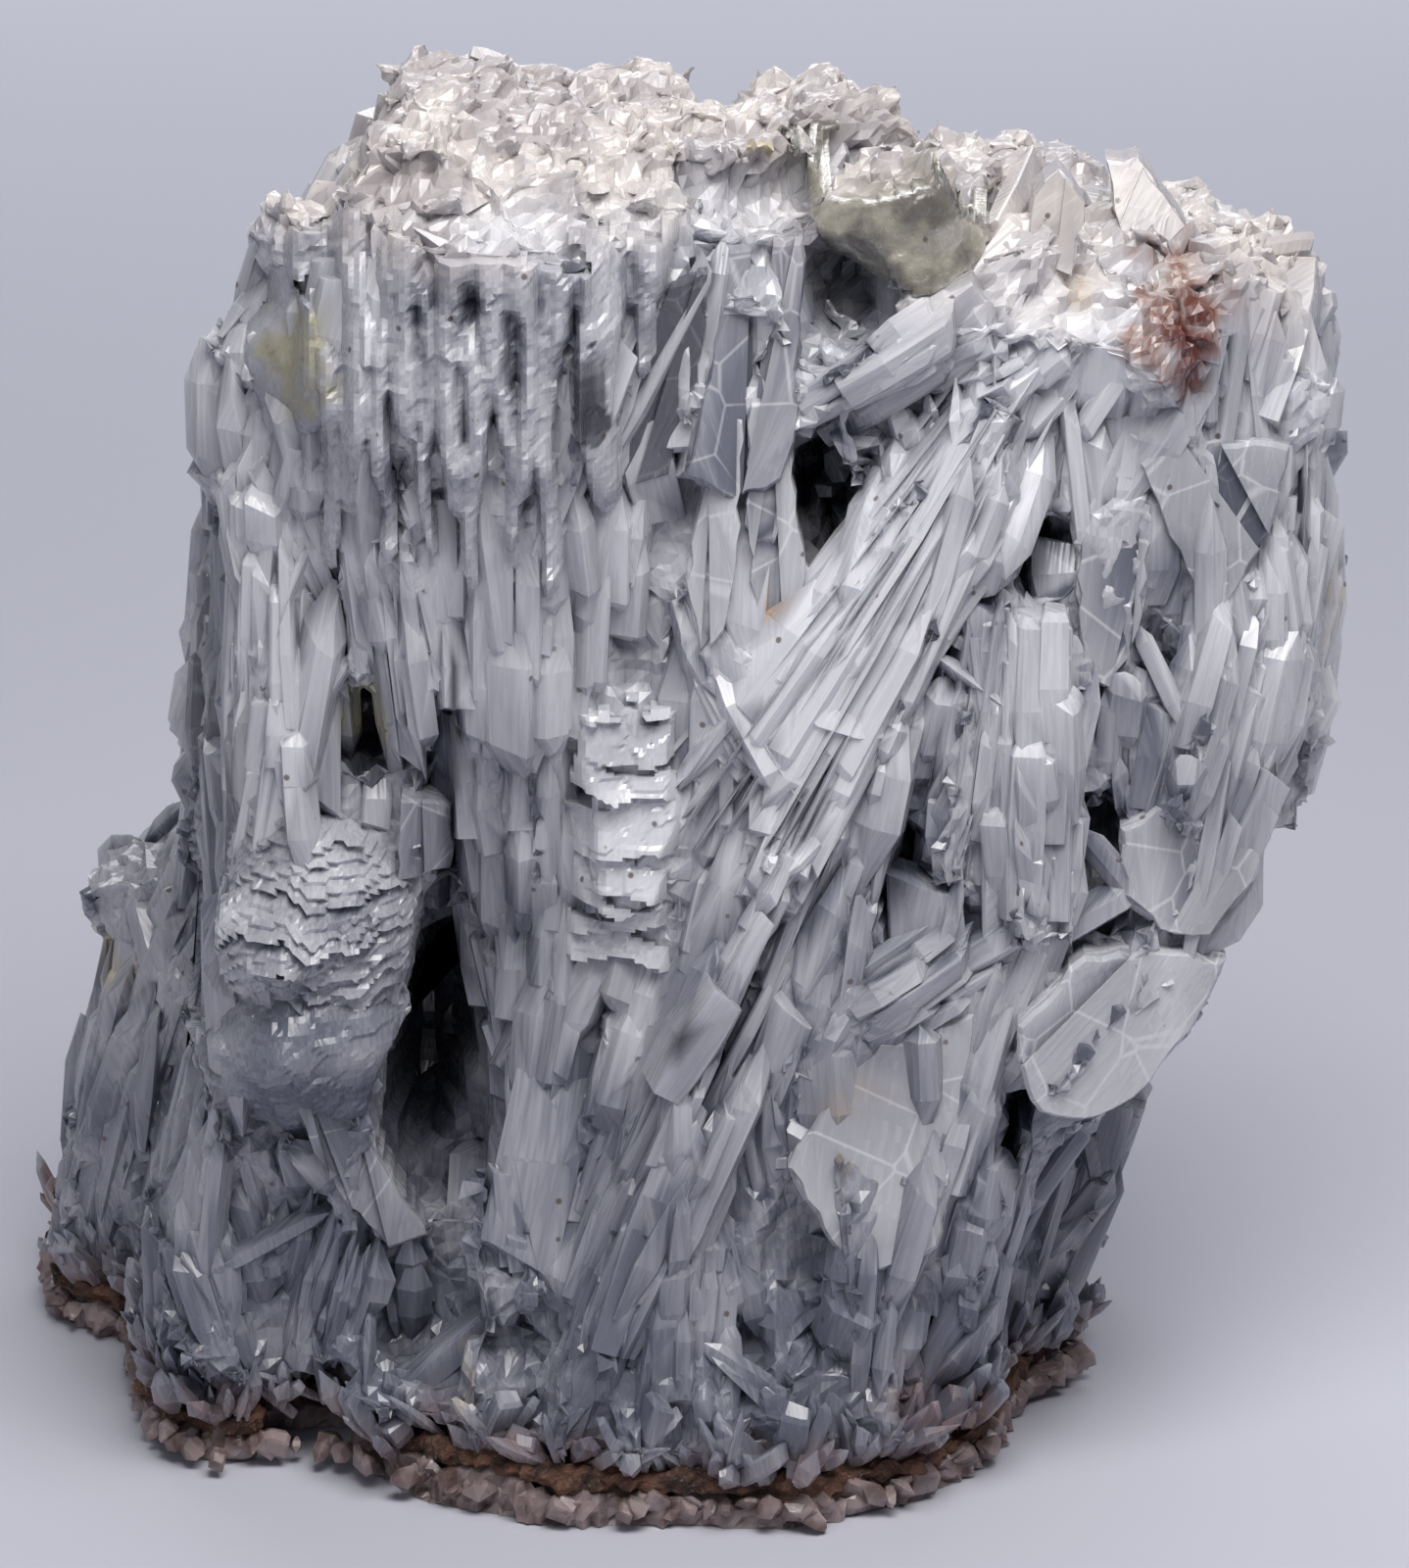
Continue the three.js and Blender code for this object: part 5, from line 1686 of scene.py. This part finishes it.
def laid_crystals(settings):
    """The milky and the clear crystals of all four sides, laid once, with the teeth of the foot."""
    work = workshop()
    if "milky" not in work:
        work["milky"], work["clear_bed"], work["teeth"] = CrystalBed(), CrystalBed(), CrystalBed()
        taken = free_map()
        for turn, (name, side) in enumerate(SIDES.items()):
            rng = np.random.default_rng(101 * (turn + 1) + settings.seed)
            for bundle in BUNDLES[name]:
                bed = work["clear_bed" if bundle.milk < CLEAR_BELOW else "milky"]
                lay_bundle(bed, work["skin"], side, bundle, taken, rng)
            lay_filler(work["milky"], work["skin"], side, BUNDLES[name], FILLERS[name], taken, rng)
        lay_foot(work["milky"], work["teeth"], work["skin"], np.random.default_rng(11 + settings.seed))
    return work["milky"], work["clear_bed"]


def grow_crystals(name, bed, material, box_middle=None, rays=CREASE_RAYS, slot="celestite"):
    """Dresses a bed of crystals as one closed skin, with the body's part in a box if one is given."""
    work = workshop()
    inputs = {
        "Templates": work["crystals"],
        "Roll spread": 0.42,
        "Size": 1.0,
        "Seed": 17,
        "Material": work[material],
    }
    if box_middle is not None:
        inputs["Joins body"] = True
        inputs["Body"] = work["body"]
        inputs["Box size"] = (BOX_REACH * MM,) * 3
        inputs["Box middle"] = tuple(to_frame(box_middle))
    mesh = grown_mesh(name, bed.points_mesh(name), work["crystal_tree"], inputs)
    finish_surface(mesh, work["skin"], rays=rays)
    dress(name, mesh, slot, *(("crystal_mass",) if box_middle is not None else ()))


class CELESTITE_OT_front(Operator):
    """Grow the fans, blades, prisms and plates of the front into one mass"""

    bl_idname = "celestite.front"
    bl_label = "Front crystals"

    def execute(self, context):
        milky = laid_crystals(context.scene.celestite_cluster)[0]
        front = milky.part(lambda depth: depth < CUT_DEPTH)
        middle = (0, CUT_DEPTH - BOX_REACH / 2, BOX_REACH / 2 - BOX_BELOW)
        grow_crystals("front_crystals", front, "celestite", middle)
        return {"FINISHED"}


class CELESTITE_OT_back(Operator):
    """Grow the blades of the sides and the back into one mass"""

    bl_idname = "celestite.back"
    bl_label = "Back crystals"

    def execute(self, context):
        milky = laid_crystals(context.scene.celestite_cluster)[0]
        rest = milky.part(lambda depth: depth >= CUT_DEPTH)
        middle = (0, CUT_DEPTH + BOX_REACH / 2, BOX_REACH / 2 - BOX_BELOW)
        grow_crystals("back_crystals", rest, "celestite", middle, rays=4)
        return {"FINISHED"}


class CELESTITE_OT_clear(Operator):
    """Grow the clear blue slabs and blades"""

    bl_idname = "celestite.clear"
    bl_label = "Clear crystals"

    def execute(self, context):
        clear = laid_crystals(context.scene.celestite_cluster)[1]
        grow_crystals("clear_crystals", clear, "clear")
        return {"FINISHED"}


# Plates: flat cleavage faces that stand out among the blades. An outline in (x, z), the lean of its
# grain, how far it stands out of the skin, its milk and the number of its cleavage steps.

Plate = namedtuple("Plate", "outline lean proud milk steps")

PLATES = [
    # The blue plate of the upper centre, with its sharp right edge, and the one beside it
    Plate([(1.2, 96), (7.2, 96.5), (7.0, 91), (6.8, 83), (5.6, 79), (2, 77.6), (-1.5, 79.5), (0.6, 88)],
          8, 0.5, 0.16, 6),
    Plate([(-2.5, 94), (0.4, 95), (-0.6, 86), (-2.6, 79), (-6, 78.5), (-7.6, 81.5), (-5.4, 87)],
          22, 0.3, 0.1, 5),
    # The cream panel and the white blade under it
    Plate([(3.4, 85), (6, 84.6), (7, 75), (7.5, 68.5), (5.6, 66.2), (3.8, 68.5), (3, 77.5)], 2, 0.9, 0.5, 3),
    Plate([(1.9, 84.6), (2.8, 83.8), (2.4, 74.6), (1.4, 68), (-0.3, 66), (-1.4, 71), (-0.3, 77)],
          4, 1.3, 0.75, 3),
    # The triangular grey plate and the blue-grey panel of the right
    Plate([(32.2, 79.3), (35.4, 81), (43.5, 79.6), (42, 73), (38.7, 67), (35.7, 71), (33.4, 76.5)],
          -34, 1.2, 0.34, 3),
    Plate([(28.4, 76), (31, 77), (33, 73.4), (32.2, 67), (30.2, 62.5), (28, 64), (27.5, 71)], 6, 0.2, 0.2, 3),
    # Small triangular plates under the crust
    Plate([(26.2, 100), (28, 98), (27, 93), (24, 94.3), (24.3, 98)], 10, 0.8, 0.45, 2),
    Plate([(30, 99), (32.4, 99.3), (36, 94.7), (34.5, 91.5), (31, 94.3)], 24, 0.8, 0.4, 2),
    # The great fan plate and the pale plate of the lower right
    Plate([(20.3, 39), (19.2, 30), (17.4, 21), (13, 19.4), (9.5, 21.7), (6.2, 27.7), (9.5, 33), (13.4, 37.6)],
          34, 0.5, 0.36, 6),
    Plate([(23.3, 38.5), (28.3, 43), (35, 42.3), (39.3, 40.8), (36.7, 35.8), (32.3, 31.3), (28.3, 30.3),
           (25, 31.6), (23.6, 35)], 48, 0.4, 0.5, 6),
    # Shell-like plates of the right
    Plate([(31, 52), (37.6, 54.5), (43, 52.5), (41.4, 46.5), (38, 43), (34, 44), (31.4, 47)],
          40, 0.3, 0.46, 5),
    # The smooth blue plate under the cavity's left side and the facets of the lower left
    Plate([(-31, 32), (-27.5, 33), (-25.6, 28.5), (-23.4, 23), (-21, 18.5), (-24, 18), (-27, 22),
           (-29.5, 27)], -16, 0.3, 0.2, 4),
    # The block beside the cavity
    Plate([(-22.5, 55), (-18.8, 54), (-19, 48.5), (-23, 48)], 2, 0.8, 0.3, 2),
]


EDGE_STEP = 1.4
EDGE_SLIP = 0.28


def ragged(outline, rng):
    """An outline with broken, uneven edges."""
    points = []
    for (x, z), (next_x, next_z) in zip(outline, outline[1:] + outline[:1]):
        length = math.hypot(next_x - x, next_z - z)
        count = max(1, round(length / EDGE_STEP))
        for step in range(count):
            share = step / count
            slip = rng.uniform(-EDGE_SLIP, EDGE_SLIP) * (step > 0)
            across = np.array((next_z - z, x - next_x)) / length
            place_x = x + (next_x - x) * share + across[0] * slip
            place_z = z + (next_z - z) * share + across[1] * slip
            points.append((place_x, place_z))
    return points


# A plate's steepest slope, and how many per cent of the places under it it stands clear of

STEEPEST_PLATE = 0.55
PLATE_AHEAD = 70


def plate_plane(skin, outline, proud):
    """The plane y = a x + b z + c of a plate that stands just clear of the skin."""
    middle = np.mean(outline, axis=0)
    spots = []
    for share in (1.0, 0.7, 0.4, 0.05):
        for corner in outline:
            across, up = middle + (np.array(corner) - middle) * share
            spot = skin.seen_at(SIDES["front"], across, up)[0]
            if spot is not None:
                spots.append(spot)
    spots = np.array(spots)
    table = np.stack((spots[:, 0], spots[:, 2], np.ones(len(spots))), axis=1)
    slope = np.linalg.lstsq(table, spots[:, 1], rcond=None)[0]
    slope[:2] = np.clip(slope[:2], -STEEPEST_PLATE, STEEPEST_PLATE)
    slope[2] = np.median(spots[:, 1] - table[:, :2] @ slope[:2])
    ahead = table @ slope - spots[:, 1]
    slope[2] -= np.percentile(ahead, PLATE_AHEAD) + proud
    return slope


# A plate's section: its size and depth at the root, under the bevel and at its face

PLATE_RINGS = ((0.97, 4.5), (1.0, 0.55), (0.95, 0.0))
CLEAVAGE_DROP = 0.28


def add_plate(form, skin, plate, rng):
    """A thick slab with a bevelled flat face, split along its grain into cleavage steps."""
    slope = plate_plane(skin, plate.outline, plate.proud)
    turn = math.radians(plate.lean)
    cross = np.array((math.cos(turn), -math.sin(turn)))
    way = np.array((math.sin(turn), math.cos(turn)))
    middle = np.mean(plate.outline, axis=0)
    reach = max(abs((np.array(corner) - middle) @ cross) for corner in plate.outline)
    for step in range(plate.steps):
        drop = CLEAVAGE_DROP * step
        outline = ragged(plate.outline, rng)
        rings = []
        for share, depth in PLATE_RINGS:
            ring = []
            for corner in outline:
                across, up = middle + (np.array(corner) - middle) * share
                y = slope[0] * across + slope[1] * up + slope[2] + drop + depth
                ring.append(form.verts.new((across, y, up)))
            rings.append(ring)
        faces = [form.faces.new(rings[0]), form.faces.new(reversed(rings[2]))]
        for low, high in zip(rings, rings[1:]):
            for corner in range(len(outline)):
                after = (corner + 1) % len(outline)
                faces.append(form.faces.new((low[corner], low[after], high[after], high[corner])))
        if step < plate.steps - 1:
            cut = middle + cross * rng.uniform(-0.8, 0.8) * reach
            side = 1 if step % 2 else -1
            geometry = faces + list({vert for face in faces for vert in face.verts})
            geometry += list({edge for face in faces for edge in face.edges})
            tilt = cross * side + way * rng.uniform(-0.15, 0.15)
            result = bmesh.ops.bisect_plane(
                form,
                geom=geometry,
                plane_co=(cut[0], 0, cut[1]),
                plane_no=(tilt[0], 0, tilt[1]),
                clear_outer=True,
            )
            edges = [item for item in result["geom_cut"] if isinstance(item, bmesh.types.BMEdge)]
            if edges:
                bmesh.ops.edgeloop_fill(form, edges=edges)


PLATE_SEED = 31


class CELESTITE_OT_plates(Operator):
    """Set the flat cleavage plates among the blades"""

    bl_idname = "celestite.plates"
    bl_label = "Cleavage plates"

    def execute(self, context):
        work = workshop()
        groups = {"clear_plates": [], "milky_plates": []}
        for plate in PLATES:
            groups["clear_plates" if plate.milk < CLEAR_BELOW else "milky_plates"].append(plate)
        for name, plates in groups.items():
            rng = np.random.default_rng(PLATE_SEED)
            form = bmesh.new()
            layer = form.verts.layers.float.new("milk")
            for plate in plates:
                before = len(form.verts)
                add_plate(form, work["skin"], plate, rng)
                form.verts.ensure_lookup_table()
                for vert in form.verts[before:]:
                    vert[layer] = plate.milk
            bmesh.ops.triangulate(form, faces=form.faces)
            bmesh.ops.recalc_face_normals(form, faces=form.faces)
            mesh = mesh_of(form, name)
            milk = np.zeros(len(mesh.vertices), dtype=np.float32)
            mesh.attributes["milk"].data.foreach_get("value", milk)
            mesh.attributes.remove(mesh.attributes["milk"])
            move_points(mesh, vectors_of(mesh.vertices))
            finish_surface(mesh, work["skin"], milk)
            mesh.materials.append(work["clear" if name == "clear_plates" else "plate"])
            dress(name, mesh, "celestite")
        return {"FINISHED"}


# Relief: forms that are one surface. Each height is millimetres out of the skin, from x and z.

BURIED = -9.0
DOME_EDGE = 1.3


def dome_rise(away, out=1.0):
    """out at the middle of a swelling, where away is 0, falling to 0 at 1 and on below it."""
    rise = out * np.sqrt(np.clip(1 - away, 0, 1)) - 3 * np.clip(away - 1, 0, 1)
    return np.where(away < DOME_EDGE, rise, BURIED)


def dome(x, z, middle_x, middle_z, reach_x, reach_z):
    """A swelling with an ellipse for its edge."""
    return dome_rise(((x - middle_x) / reach_x) ** 2 + ((z - middle_z) / reach_z) ** 2)


def front_facets(x, z, cell, seed=0.0):
    """Broken flats over places of the front."""
    points = np.stack((x.ravel() + seed, np.zeros(x.size), z.ravel()), axis=1)
    return facet_height(points, UPRIGHT, cell).reshape(x.shape)


def rosette_height(x, z):
    """Frosty laminae in wavy, nearly level shelves over a rounded swelling."""
    swell = dome(x, z, -31, 44.5, 9.4, 8.2)
    level = z + 0.7 * np.sin(x * 0.62) + 0.35 * np.sin(x * 1.7 + 1) + 0.5 * np.sin(z * 0.4)
    shelf = level / 1.15
    number = np.floor(shelf)
    lip = 1 - (shelf - number)
    stagger = hashed(np.stack((number, np.zeros_like(number), np.zeros_like(number)), -1).reshape(-1, 3), 3)
    chips = front_facets(x, z, (1.6, 1.0, 1.2))
    rise = 2.2 * swell + 0.75 * lip**1.5 + 0.5 * (stagger[:, 0].reshape(x.shape) - 0.5) + 0.35 * chips
    return np.where(swell > -0.5, rise, BURIED)


def bulge_height(x, z):
    """The smooth scaly swelling under the rosette."""
    swell = dome(x, z, -31, 34.6, 9.2, 6.4)
    scales = front_facets(x, z, (2.2, 1.0, 1.7), 7.0)
    return np.where(swell > -0.5, 3.4 * swell + 0.28 * scales, BURIED)


TERRACE_EDGES = (61.7, 60.5, 57.1, 54.5, 49.9, 46.9, 45.5, 43.8, 41.6)


def terrace_height(x, z):
    """Glossy steps down a column: each stands out to a lip over the crack below it."""
    centre = -6.3 + 0.06 * (z - 50)
    column = 1 - np.abs((x - centre) / (4.2 + 0.5 * np.sin(z * 0.5)))
    rise = np.full(x.shape, BURIED)
    for number, (top, foot) in enumerate(zip(TERRACE_EDGES, TERRACE_EDGES[1:])):
        bend = 0.35 * np.sin(x * 0.9 + number * 1.9) + 0.16 * (x - centre) * math.sin(number * 2.3)
        share = (top + bend - z) / (top - foot)
        inside = (share >= 0) & (share < 0.95)
        lip = 0.7 + 0.9 * np.clip(share, 0, 1) ** 1.4 + 0.25 * math.sin(number * 4.1)
        rise = np.where(inside, lip, rise)
        crack = (share >= 0.95) & (share < 1.0)
        rise = np.where(crack, 0.15, rise)
    rise = rise + 0.18 * front_facets(x, z, (2.4, 1.0, 1.6), 3.0)
    return np.where(column > 0, np.minimum(rise, 4.5 * column), BURIED)


DRAPES = (
    # x, top, tip, half width, how far out
    (-29, 95, 85, 2.0, 2.0), (-25.4, 97, 77, 1.5, 2.8), (-21.8, 96, 84, 1.7, 2.2),
    (-18.4, 97, 77.5, 1.4, 3.0), (-15.4, 97, 87, 1.6, 2.4), (-12.9, 96, 79, 1.3, 3.0),
    (-10.4, 97, 90, 1.6, 2.2), (-7.6, 97, 77, 1.9, 3.6), (-4.6, 96.5, 87, 1.1, 2.2),
    (-3.4, 97, 93, 1.7, 3.2), (-27.2, 88, 72, 1.1, 2.2), (-23.4, 90, 73.5, 1.0, 2.4),
    (-20, 92, 74, 0.9, 2.2), (-16.8, 90, 72, 1.1, 2.4), (-14.2, 88, 75, 0.9, 2.2),
    (-11.4, 91, 71, 1.1, 2.4),
)


def drape_height(x, z):
    """Soft hanging columns with rounded tips and dark gaps between them."""
    rise = np.full(x.shape, BURIED)
    for number, (middle, top, tip, reach, out) in enumerate(DRAPES):
        sway = middle + 0.4 * np.sin(z * 0.35 + number * 1.7)
        narrow = reach * (0.7 + 0.3 * np.clip((z - tip) / (top - tip), 0, 1))
        aside = (x - sway) / narrow
        below = np.clip((tip + reach * 1.8 - z) / (reach * 1.8), 0, 2)
        above = np.clip((z - top) / 4.0, 0, 2)
        rise = np.maximum(rise, dome_rise(aside**2 + below**2 + above**2, out))
    knobs = front_facets(x, z, (1.5, 1.0, 3.6), 11.0) * 0.45
    knobs += front_facets(x, z, (0.8, 1.0, 1.6), 5.0) * 0.15
    return np.where(rise > -1, rise * 0.8 + 0.3 + knobs, BURIED)


def pocket_height(x, z):
    """The smooth crystal in the crust."""
    swell = np.maximum(dome(x, z, 15.0, 98.6, 7.4, 6.6), dome(x, z, 9.6, 104.4, 5.2, 4.2))
    return np.where(swell > -0.5, 2.6 * swell + 0.35 * front_facets(x, z, (4.2, 1.0, 3.4), 9.0), BURIED)


def olive_height(x, z):
    """The smooth crystal of the upper left."""
    swell = dome(x, z, -30.2, 88.5, 3.8, 6.2)
    return np.where(swell > -0.5, 1.9 * swell + 0.3 * front_facets(x, z, (2.4, 1.0, 3.4), 2.0), BURIED)


# Each relief: its name, its height, its box (left, right, low, high), its grid's step, its milk, its
# material and whether it is shaded smooth

Relief = namedtuple("Relief", "name height box step milk finish smooth")

RELIEFS = (
    Relief("rosette", rosette_height, (-41, -21, 35.5, 54), 0.32, 0.3, "celestite", False),
    # The bulge's milk is below zero: partly its clear blue tone, partly painted shade for its underside
    Relief("scaly_bulge", bulge_height, (-41, -21, 27.5, 42), 0.4, -0.05, "celestite", False),
    Relief("terraces", terrace_height, (-11.5, -1, 41, 63), 0.3, 0.6, "glossy", False),
    Relief("milky_drapes", drape_height, (-35, -0.5, 69, 103), 0.42, 0.42, "celestite", False),
    Relief("olive_crystal", olive_height, (-34.6, -26, 81.5, 95.5), 0.42, 0.3, "celestite", True),
    Relief("grey_pocket", pocket_height, (3.5, 23, 91, 106.8), 0.42, 0.3, "pocket", True),
)


class CELESTITE_OT_relief(Operator):
    """Shape the rosette and the bulge under it, the terraces, the drapes and the two smooth crystals"""

    bl_idname = "celestite.relief"
    bl_label = "Relief"

    def execute(self, context):
        work = workshop()
        work["pocket"] = pocket_material("grey_pocket")
        for relief in RELIEFS:
            mesh = relief_mesh(relief.name, work["skin"], relief.box, relief.step, relief.height)
            finish_surface(mesh, work["skin"], relief.milk, smooth=relief.smooth)
            mesh.materials.append(work[relief.finish])
            dress(relief.name, mesh, "celestite")
        return {"FINISHED"}


class CELESTITE_OT_crust(Operator):
    """Strew the cream-white crust of broken lumps over the top and let them grow together"""

    bl_idname = "celestite.crust"
    bl_label = "Top crust"

    def execute(self, context):
        work = workshop()
        inputs = {
            "Templates": work["lumps"],
            "Spacing": 1.7 * MM,
            "Density": 400000.0,
            "Smallest": 1.6 * MM,
            "Largest": 4.6 * MM,
            "Seed": 5,
            "Material": work["celestite"],
        }
        lumps = grown_mesh("crust_lumps", work["body"].data.copy(), work["lump_tree"], inputs)
        mesh = remeshed(lumps, 0.6 * MM, 5, 0.3 * MM)
        mesh.name = "top_crust"
        roughen(mesh, ((1.8, 1.8, 1.8), 0.22), ((0.8, 0.8, 0.8), 0.12))
        mesh.materials.clear()
        mesh.materials.append(work["celestite"])
        finish_surface(mesh, work["skin"], 0.62)
        dress("top_crust", mesh, "celestite")
        return {"FINISHED"}


class CELESTITE_OT_seam(Operator):
    """Roughen the rust-brown rock seam"""

    bl_idname = "celestite.seam"
    bl_label = "Rock seam"

    def execute(self, context):
        mesh = remeshed(merged_copy("rock_seam"), 0.6 * MM, 2, 0.0)
        mesh.name = "rough_seam"
        roughen(mesh, ((1.8, 1.8, 1.2), 0.6), ((0.7, 0.7, 0.6), 0.25))
        mesh.materials.append(rock_material("seam_rock", (0.03, 0.016, 0.012), (0.16, 0.075, 0.045)))
        dress("rough_seam", mesh, "seam_rock", "rock_seam")
        return {"FINISHED"}


class CELESTITE_OT_footwall(Operator):
    """Break the footwall layer into pinkish-white teeth"""

    bl_idname = "celestite.footwall"
    bl_label = "Footwall crystals"

    def execute(self, context):
        mesh = remeshed(merged_copy("footwall_crystals"), 0.6 * MM, 1, 0.0)
        mesh.name = "footwall_druse"
        roughen(mesh, ((1.9, 1.9, 2.4), 1.0), ((0.8, 0.8, 1.0), 0.35), above=FLAT_FOOT)
        work = workshop()
        # The footwall's colours are its own pink darkened well down, partly painted shade for the shadow
        # under the overhanging crystals
        work["footwall"] = druse_material("footwall_crystal", (0.30, 0.235, 0.235), (0.13, 0.085, 0.08))
        mesh.materials.append(work["footwall"])
        dress("footwall_druse", mesh, "footwall_crystal", "footwall_crystals")
        grow_crystals("footwall_teeth", work["teeth"], "footwall", rays=2, slot="footwall_crystal")
        return {"FINISHED"}


class CELESTITE_OT_stage(Operator):
    """Set the pale floor, the soft lights and the camera"""

    bl_idname = "celestite.stage"
    bl_label = "Stage"

    def execute(self, context):
        floor = sweep_mesh("studio_sweep")
        floor.materials.append(plain_material("studio_paper", (0.545, 0.55, 0.625), 0.9, 1.5))
        add_object("studio_sweep", floor)
        set_lights()
        set_camera()
        return {"FINISHED"}


def sweep_mesh(name):
    """A floor that curves up into a backdrop."""
    bend = 0.5
    depth = 0.9
    profile = [(-1.6, 0.0), (depth, 0.0)]
    for step in range(1, 17):
        turn = math.radians(90 * step / 16)
        profile.append((depth + bend * math.sin(turn), bend * (1 - math.cos(turn))))
    profile.append((depth + bend, 2.2))
    form = bmesh.new()
    rows = [[form.verts.new((x, y, z)) for y, z in profile] for x in (-2.4, 2.4)]
    for step in range(len(profile) - 1):
        face = form.faces.new((rows[0][step], rows[1][step], rows[1][step + 1], rows[0][step + 1]))
        face.smooth = True
    return mesh_of(form, name)


def add_light(name, place, target, size, power, colour):
    light = bpy.data.lights.new(name, "AREA")
    light.shape = "RECTANGLE"
    light.size, light.size_y = size
    light.energy = power
    light.color = colour
    lamp = add_object(name, light)
    lamp.location = place
    lamp.rotation_euler = (Vector(target) - Vector(place)).to_track_quat("-Z", "Y").to_euler()


def set_lights():
    middle = (0.0, 0.0, 0.05)
    add_light("softbox_key", (0.05, -0.15, 0.33), middle, (0.24, 0.18), 1.15, (1.0, 0.985, 0.97))
    add_light("softbox_room", (0.0, 0.9, 0.7), (0.0, 0.8, 0.0), (1.3, 0.5), 8.4, (0.97, 0.98, 1.0))
    add_light("softbox_front", (-0.45, -0.8, 0.4), middle, (0.4, 0.4), 0.8, (0.93, 0.95, 1.0))
    world = bpy.data.worlds.new("studio_air")
    world.use_nodes = True
    world.node_tree.nodes["Background"].inputs[0].default_value = (0.70, 0.72, 0.80, 1.0)
    world.node_tree.nodes["Background"].inputs[1].default_value = 0.16
    bpy.context.scene.world = world
    bpy.context.scene.view_settings.view_transform = "Standard"


CAMERA_DISTANCE = 0.6
CAMERA_HEIGHT_ANGLE = 18.0
CAMERA_LENS = 179.5
CAMERA_TARGET = np.array((0.0, 0.0, 49.7))


def set_camera():
    """The photograph's view: level ahead, looking down a little through a long lens."""
    camera = bpy.data.cameras.new("photo_camera")
    camera.lens = CAMERA_LENS
    camera.sensor_width = 36.0
    camera.clip_start = 0.01
    holder = add_object("photo_camera", camera)
    turn = math.radians(CAMERA_HEIGHT_ANGLE)
    target = Vector(to_frame(CAMERA_TARGET))
    holder.location = target + Vector((0, -math.cos(turn), math.sin(turn))) * CAMERA_DISTANCE
    holder.rotation_euler = (target - holder.location).to_track_quat("-Z", "Y").to_euler()
    bpy.context.scene.camera = holder


PIECE_OPERATORS = (
    CELESTITE_OT_body,
    CELESTITE_OT_front,
    CELESTITE_OT_back,
    CELESTITE_OT_clear,
    CELESTITE_OT_plates,
    CELESTITE_OT_relief,
    CELESTITE_OT_crust,
    CELESTITE_OT_seam,
    CELESTITE_OT_footwall,
    CELESTITE_OT_stage,
)


class CELESTITE_PT_panel(Panel):
    """Lists the steps that make the specimen"""

    bl_idname = "CELESTITE_PT_panel"
    bl_label = "Celestite cluster"
    bl_space_type = "VIEW_3D"
    bl_region_type = "UI"
    bl_category = "Celestite"

    def draw(self, context):
        settings = context.scene.celestite_cluster
        for name in ("crystal_colour", "hollow_shade_colour", "frost_colour", "crust_colour", "body_grain", "seed"):
            self.layout.prop(settings, name)
        for operator in PIECE_OPERATORS:
            self.layout.operator(operator.bl_idname)


CLASSES = (ClusterSettings, *PIECE_OPERATORS, CELESTITE_PT_panel)


def register():
    for item in CLASSES:
        bpy.utils.register_class(item)
    bpy.types.Scene.celestite_cluster = PointerProperty(type=ClusterSettings)


def unregister():
    del bpy.types.Scene.celestite_cluster
    for item in reversed(CLASSES):
        bpy.utils.unregister_class(item)


def main():
    register()
    for operator in PIECE_OPERATORS:
        family, name = operator.bl_idname.split(".")
        getattr(getattr(bpy.ops, family), name)()
    bpy.data.objects.remove(WORK["body"])
    for key in ("crystals", "lumps"):
        for template in list(WORK[key].objects):
            bpy.data.objects.remove(template)
        bpy.data.collections.remove(WORK[key])


if __name__ == "__main__":
    main()
